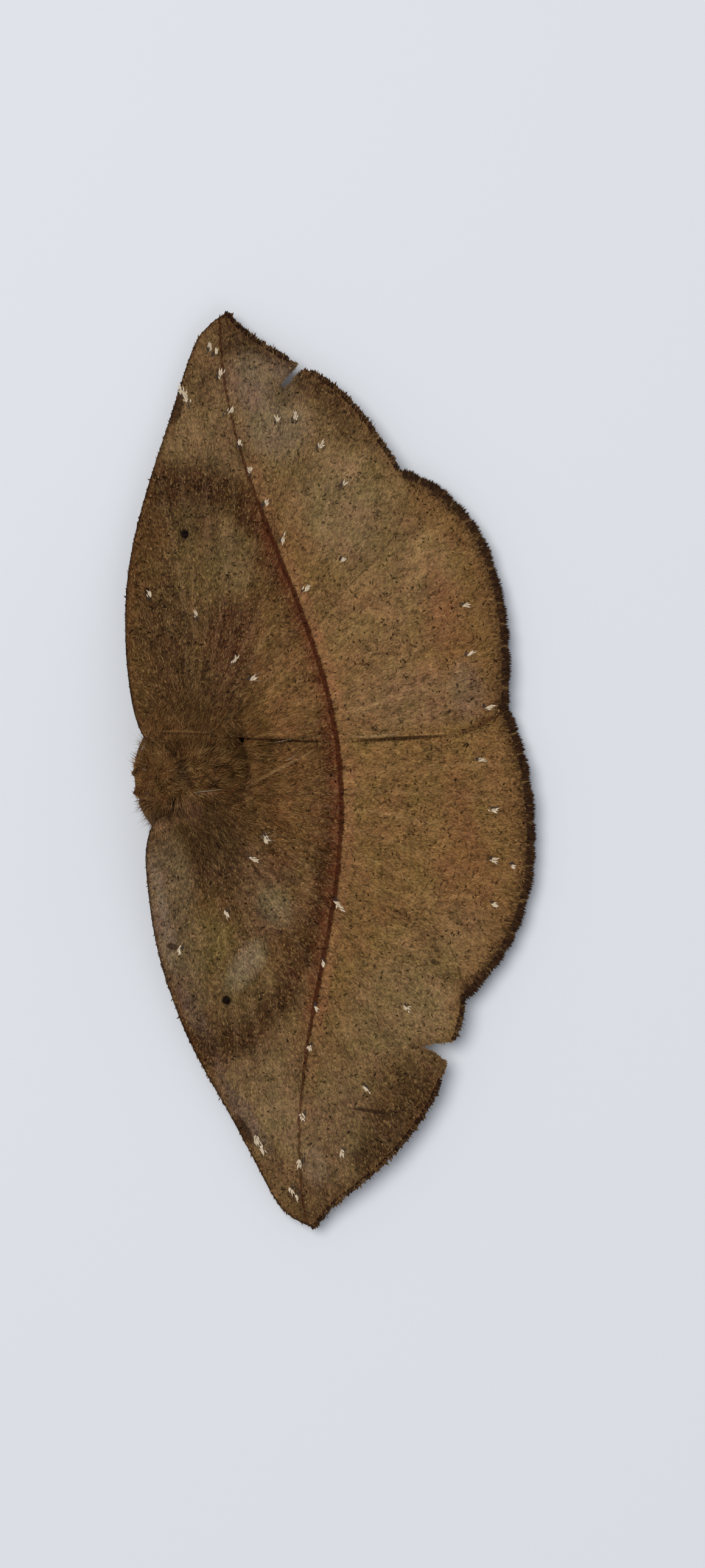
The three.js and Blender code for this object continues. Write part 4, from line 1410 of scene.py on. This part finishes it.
def limbFinish(name, pale, dark, roughness=0.6):
    finish = Finish(name)
    where = finish.placeInMm()
    cloud, _ = finish.noise(where, 1.4, 3.0, 0.6, flat=False)
    grain, _ = finish.noise(where, 14.0, 2.0, 0.6, flat=False)
    shade, _ = finish.attribute("shade")
    colour = finish.mix(finish.step(cloud, 0.38, 0.62), seen(*dark), seen(*pale))
    colour = finish.scaled(colour, 0.8 + grain * 0.4 + shade * 0.3)
    normal = finish.bump(grain, 0.02 * mm, 0.6)
    return finish.shader(colour, grain * 0.2 + roughness, normal, Specular_IOR_Level=0.3)


legMaterial = limbFinish("legScales", (140, 112, 80), (88, 64, 42))
feelerMaterial = limbFinish("feeler", (92, 68, 45), (64, 45, 30), 0.5)
limbCoats = {
    "leg": {"scales": 1300, "length": (0.16, 0.3), "width": (0.05, 0.08), "lift": (0.03, 0.22),
            "material": legMaterial, "slot": "leg_scale"},
    "antenna": {"scales": 1500, "length": (0.12, 0.2), "width": (0.04, 0.06), "lift": (0.02, 0.2),
                "material": feelerMaterial, "slot": "leg_scale"},
    "palp": {"scales": 900, "length": (0.16, 0.3), "width": (0.05, 0.08), "lift": (0.08, 0.4),
             "material": legMaterial, "slot": "body_fur"},
}


def curveThrough(route, tension, perSpan):
    # the same kind of curve through the points as the solids follow
    points = [np.array(p, float) for p in route]
    points = [2 * points[0] - points[1]] + points + [2 * points[-1] - points[-2]]
    found = []
    for a, b, c, d in zip(points, points[1:], points[2:], points[3:]):
        start, end = tension * (c - a), tension * (d - b)
        for t in np.arange(perSpan) / perSpan:
            found.append((2 * t**3 - 3 * t**2 + 1) * b + (t**3 - 2 * t**2 + t) * start
                         + (3 * t**2 - 2 * t**3) * c + (t**3 - t**2) * end)
    return np.array(found + [points[-2]])


def tubeAlong(name, path, radii, sides=8, smooth=1):
    # a straight closed tube, extruded ring by ring, then laid along the path
    deselectAll()
    bpy.ops.mesh.primitive_circle_add(vertices=sides, radius=radii[0] * mm, fill_type="NGON",
                                      location=(0, 0, 0))
    tube = bpy.context.object
    tube.name = name
    tube.data.name = name
    bpy.ops.object.mode_set(mode="EDIT")
    bpy.ops.mesh.select_all(action="SELECT")
    for i in range(1, len(radii)):
        size = radii[i] / radii[i - 1]
        bpy.ops.mesh.extrude_region_move(TRANSFORM_OT_translate={"value": (0, 0, mm)})
        bpy.ops.transform.resize(value=(size, size, 1), center_override=(0, 0, i * mm))
    bpy.ops.mesh.select_all(action="SELECT")
    bpy.ops.mesh.normals_make_consistent(inside=False)
    bpy.ops.object.mode_set(mode="OBJECT")
    straight = pointsOf(tube.data) / mm
    ring = np.clip(np.round(straight[:, 2]).astype(int), 0, len(radii) - 1)
    lengths = np.concatenate([[0], np.cumsum(np.linalg.norm(np.diff(path, axis=0), axis=1))])
    at = np.linspace(0, lengths[-1], len(radii))
    centres = np.stack([np.interp(at, lengths, path[:, i]) for i in range(3)], 1)
    forward = unit(np.gradient(centres, axis=0))
    across = np.cross(forward[0], (0.0, 0.0, 1.0))
    across = across if np.linalg.norm(across) > 0.1 else np.cross(forward[0], (0.0, 1.0, 0.0))
    sidesOf = []
    for way in forward:
        across = across - way * np.dot(across, way)
        across = across / np.linalg.norm(across)
        sidesOf.append(across)
    sidesOf = np.array(sidesOf)
    upward = np.cross(sidesOf, forward)
    laid = centres[ring] + sidesOf[ring] * straight[:, :1] + upward[ring] * straight[:, 1:2]
    setPoints(tube.data, laid * mm + (0, headFront, 0))
    editWhole(tube, lambda: bpy.ops.mesh.normals_make_consistent(inside=False))
    if smooth:
        applyModifier(tube, "SUBSURF", levels=smooth, render_levels=smooth)
    bpy.ops.object.shade_smooth()
    return tube


def onSide(route, side):
    return [(side * across, back, height) for across, back, height in route]


def finishLimb(kind, limb, path, node):
    # its coat is small scales that lie along it, pointing to its tip
    coat = limbCoats[kind]
    count = coat["scales"]
    addAttribute(limb.data, "shade", np.zeros(len(limb.data.vertices)))
    finishPiece(limb, coat["material"], coat["slot"], node)
    addPlainAttributes(limb.data)
    unwrapSolid(limb)
    roots = scatter(limb.data, count)
    moth = toMoth(roots["place"])
    gap = np.linalg.norm(moth[:, None, :] - path[None, :, :], axis=2)
    way = unit(np.gradient(path, axis=0))[gap.argmin(1)]
    roots["heading"] = way + rng.normal(0, 0.15, (count, 3))
    scales = plantScales(f"{limb.name}Scales", roots, rng.uniform(*coat["length"], count) * mm,
                         rng.uniform(*coat["width"], count) * mm, rng.uniform(*coat["lift"], count),
                         0.01 * mm, shades(count, 0.5, 0.05))
    finishPiece(scales, coat["material"], coat["slot"])


feelerRoute = [(0.6, 0.95, 3.9), (1.2, 0.28, 3.65), (2.05, 0.45, 3.15), (3.1, 0.98, 2.9), (5.0, 1.75, 2.8),
               (7.5, 3.1, 2.7), (9.9, 4.8, 2.5), (12.0, 6.9, 2.2)]
palpRoute = [(0.48, 1.7, 0.95), (0.48, 0.9, 0.95), (0.45, 0.3, 1.25), (0.42, 0.02, 1.75)]
palpRadii = [0.12, 0.16, 0.18, 0.19, 0.18, 0.17, 0.15, 0.11, 0.09, 0.04]
legs = {  # hip, knee, ankle, start of the foot and toe; a spur's place is its share of the curve
    "foreleg": {
        "route": [(1.0, 2.4, 1.9), (4.0, 2.2, 2.45), (5.9, 1.9, 1.0), (7.2, 1.6, 0.14), (8.1, 1.4, 0.11)],
        "spurs": (),
    },
    "midleg": {
        "route": [(1.3, 4.3, 1.8), (5.0, 5.3, 2.5), (8.0, 6.7, 0.95), (10.2, 7.7, 0.14), (11.0, 8.1, 0.11)],
        "spurs": (0.56,),
    },
    "hindleg": {
        "route": [(1.2, 6.0, 1.8), (4.2, 9.4, 2.4), (6.4, 13.2, 0.85), (7.6, 15.6, 0.14), (8.0, 16.4, 0.11)],
        "spurs": (0.46, 0.6),
    },
}
legSteps = 12  # points in each of the four spans of a leg
segments = 58  # of a feeler


def feelerRadii():
    radii = [0.1, 0.17, 0.18, 0.14, 0.12, 0.13]
    for i in range(segments):
        size = 0.125 - 0.075 * i / segments
        radii += [size, size * 0.84]
    return radii + [0.03]


def legRadii():
    femur = [0.16, 0.25, 0.29, 0.28, 0.24, 0.18]
    tibia = [0.13, 0.16, 0.17, 0.16, 0.15, 0.13, 0.12]
    foot = []
    for i in range(5):
        foot += [0.1 - 0.006 * i, 0.092 - 0.006 * i, 0.07 - 0.004 * i]
    return {"femur": femur, "tibia": tibia, "foot": foot + [0.06, 0.04]}


def makeLeg(legName, sideName, side):
    route = onSide(legs[legName]["route"], side)
    path = curveThrough(route, 0.25, legSteps)
    parts = []
    for (label, radii), start, end in zip(legRadii().items(), (0, 1, 2), (1, 2, 4)):
        parts.append(tubeAlong(label, path[start * legSteps:end * legSteps + 1], radii))
    toe, ahead = path[-1], unit((path[-1] - path[-4])[None])[0]
    aside = np.array([-ahead[1], ahead[0], 0.0])
    for lean in (-1, 1):
        hook = np.array([toe, toe + ahead * 0.1 + aside * lean * 0.06 + (0, 0, 0.03),
                         toe + ahead * 0.2 + aside * lean * 0.09 - (0, 0, 0.06)])
        parts.append(tubeAlong("claw", hook, [0.03, 0.022, 0.006], 6))
    for share in legs[legName]["spurs"]:
        step = int(share * 4 * legSteps)
        at = path[step]
        onward = unit((path[step + 1] - at)[None])[0]
        for lean in (-1, 1):
            tip = at + onward * (0.75 if lean > 0 else 0.55) + np.array([lean * 0.16, 0.0, -0.1])
            spur = np.array([at, (at + tip) / 2 + (0, 0, 0.03), tip])
            parts.append(tubeAlong("spur", spur, [0.05, 0.045, 0.01], 6))
    leg = join(parts, f"{legName}{sideName.title()}")
    finishLimb("leg", leg, path, f"{legName}_{sideName}")


for sideName, side in (("left", 1), ("right", -1)):
    path = curveThrough(onSide(feelerRoute, side), 0.5, 16)
    feeler = tubeAlong(f"antenna{sideName.title()}", path, feelerRadii())
    finishLimb("antenna", feeler, path, f"antenna_{sideName}")
    path = curveThrough(onSide(palpRoute, side), 0.5, 10)
    palp = tubeAlong(f"palp{sideName.title()}", path, palpRadii, 10)
    finishLimb("palp", palp, path, f"palp_{sideName}")
    for legName in legs:
        makeLeg(legName, sideName, side)
print("limbs done")


studio = {
    "cameraOver": (1.42, 1.2),
    "cameraTurn": 84.5,
    "viewLength": 101.0,
    "distance": 200.0,
    "floorColour": (0.80, 0.82, 0.86),
    "lights": {  # direction, distance, size, power and colour
        "keyLight": ((-0.32, -0.3, 1.0), 0.9, 0.6, 5.2, (1.0, 0.985, 0.96)),
        "fillLight": ((0.9, 0.5, 1.1), 1.0, 0.8, 1.0, (0.93, 0.96, 1.0)),
    },
    "skyColour": (0.86, 0.92, 1.0),
    "skyStrength": 0.34,
}

deselectAll()
bpy.ops.mesh.primitive_plane_add(size=3, location=(0, 0, 0))
floor = bpy.context.object
floor.name = "floor"
floorColour = (*studio["floorColour"], 1.0)
floor.data.materials.append(Finish("paleFloor").shader(floorColour, 0.55, None, Specular_IOR_Level=0.25))

middle = (Vector(cadBox[0]) + Vector(cadBox[1])) / 2
cameraData = bpy.data.cameras.new("camera")
cameraData.lens = cameraData.sensor_width * studio["distance"] / studio["viewLength"]
cameraData.clip_start = 0.01
camera = bpy.data.objects.new("camera", cameraData)
camera.location = (
    middle.x + studio["cameraOver"][0] * mm,
    middle.y + studio["cameraOver"][1] * mm,
    (studio["distance"] + 3.0) * mm,
)
camera.rotation_euler = (0, 0, radians(studio["cameraTurn"]))
bpy.context.scene.collection.objects.link(camera)
bpy.context.scene.camera = camera


def addLight(name, direction, distance, size, power, colour):
    data = bpy.data.lights.new(name, "AREA")
    data.shape = "DISK"
    data.size = size
    data.energy = power
    data.color = colour
    light = bpy.data.objects.new(name, data)
    light.location = Vector(direction).normalized() * distance
    light.rotation_euler = (-Vector(direction)).to_track_quat("-Z", "Y").to_euler()
    bpy.context.scene.collection.objects.link(light)


for name, settings in studio["lights"].items():
    addLight(name, *settings)
world = bpy.data.worlds.new("sky")
world.use_nodes = True
sky = world.node_tree.nodes["Background"].inputs
sky["Color"].default_value = (*studio["skyColour"], 1.0)
sky["Strength"].default_value = studio["skyStrength"]
bpy.context.scene.world = world
bpy.context.scene.view_settings.view_transform = "Standard"

shown = [piece for piece in bpy.data.objects if piece.type == "MESH" and not piece.hide_render]
print("faces in all", sum(len(piece.data.polygons) for piece in shown))
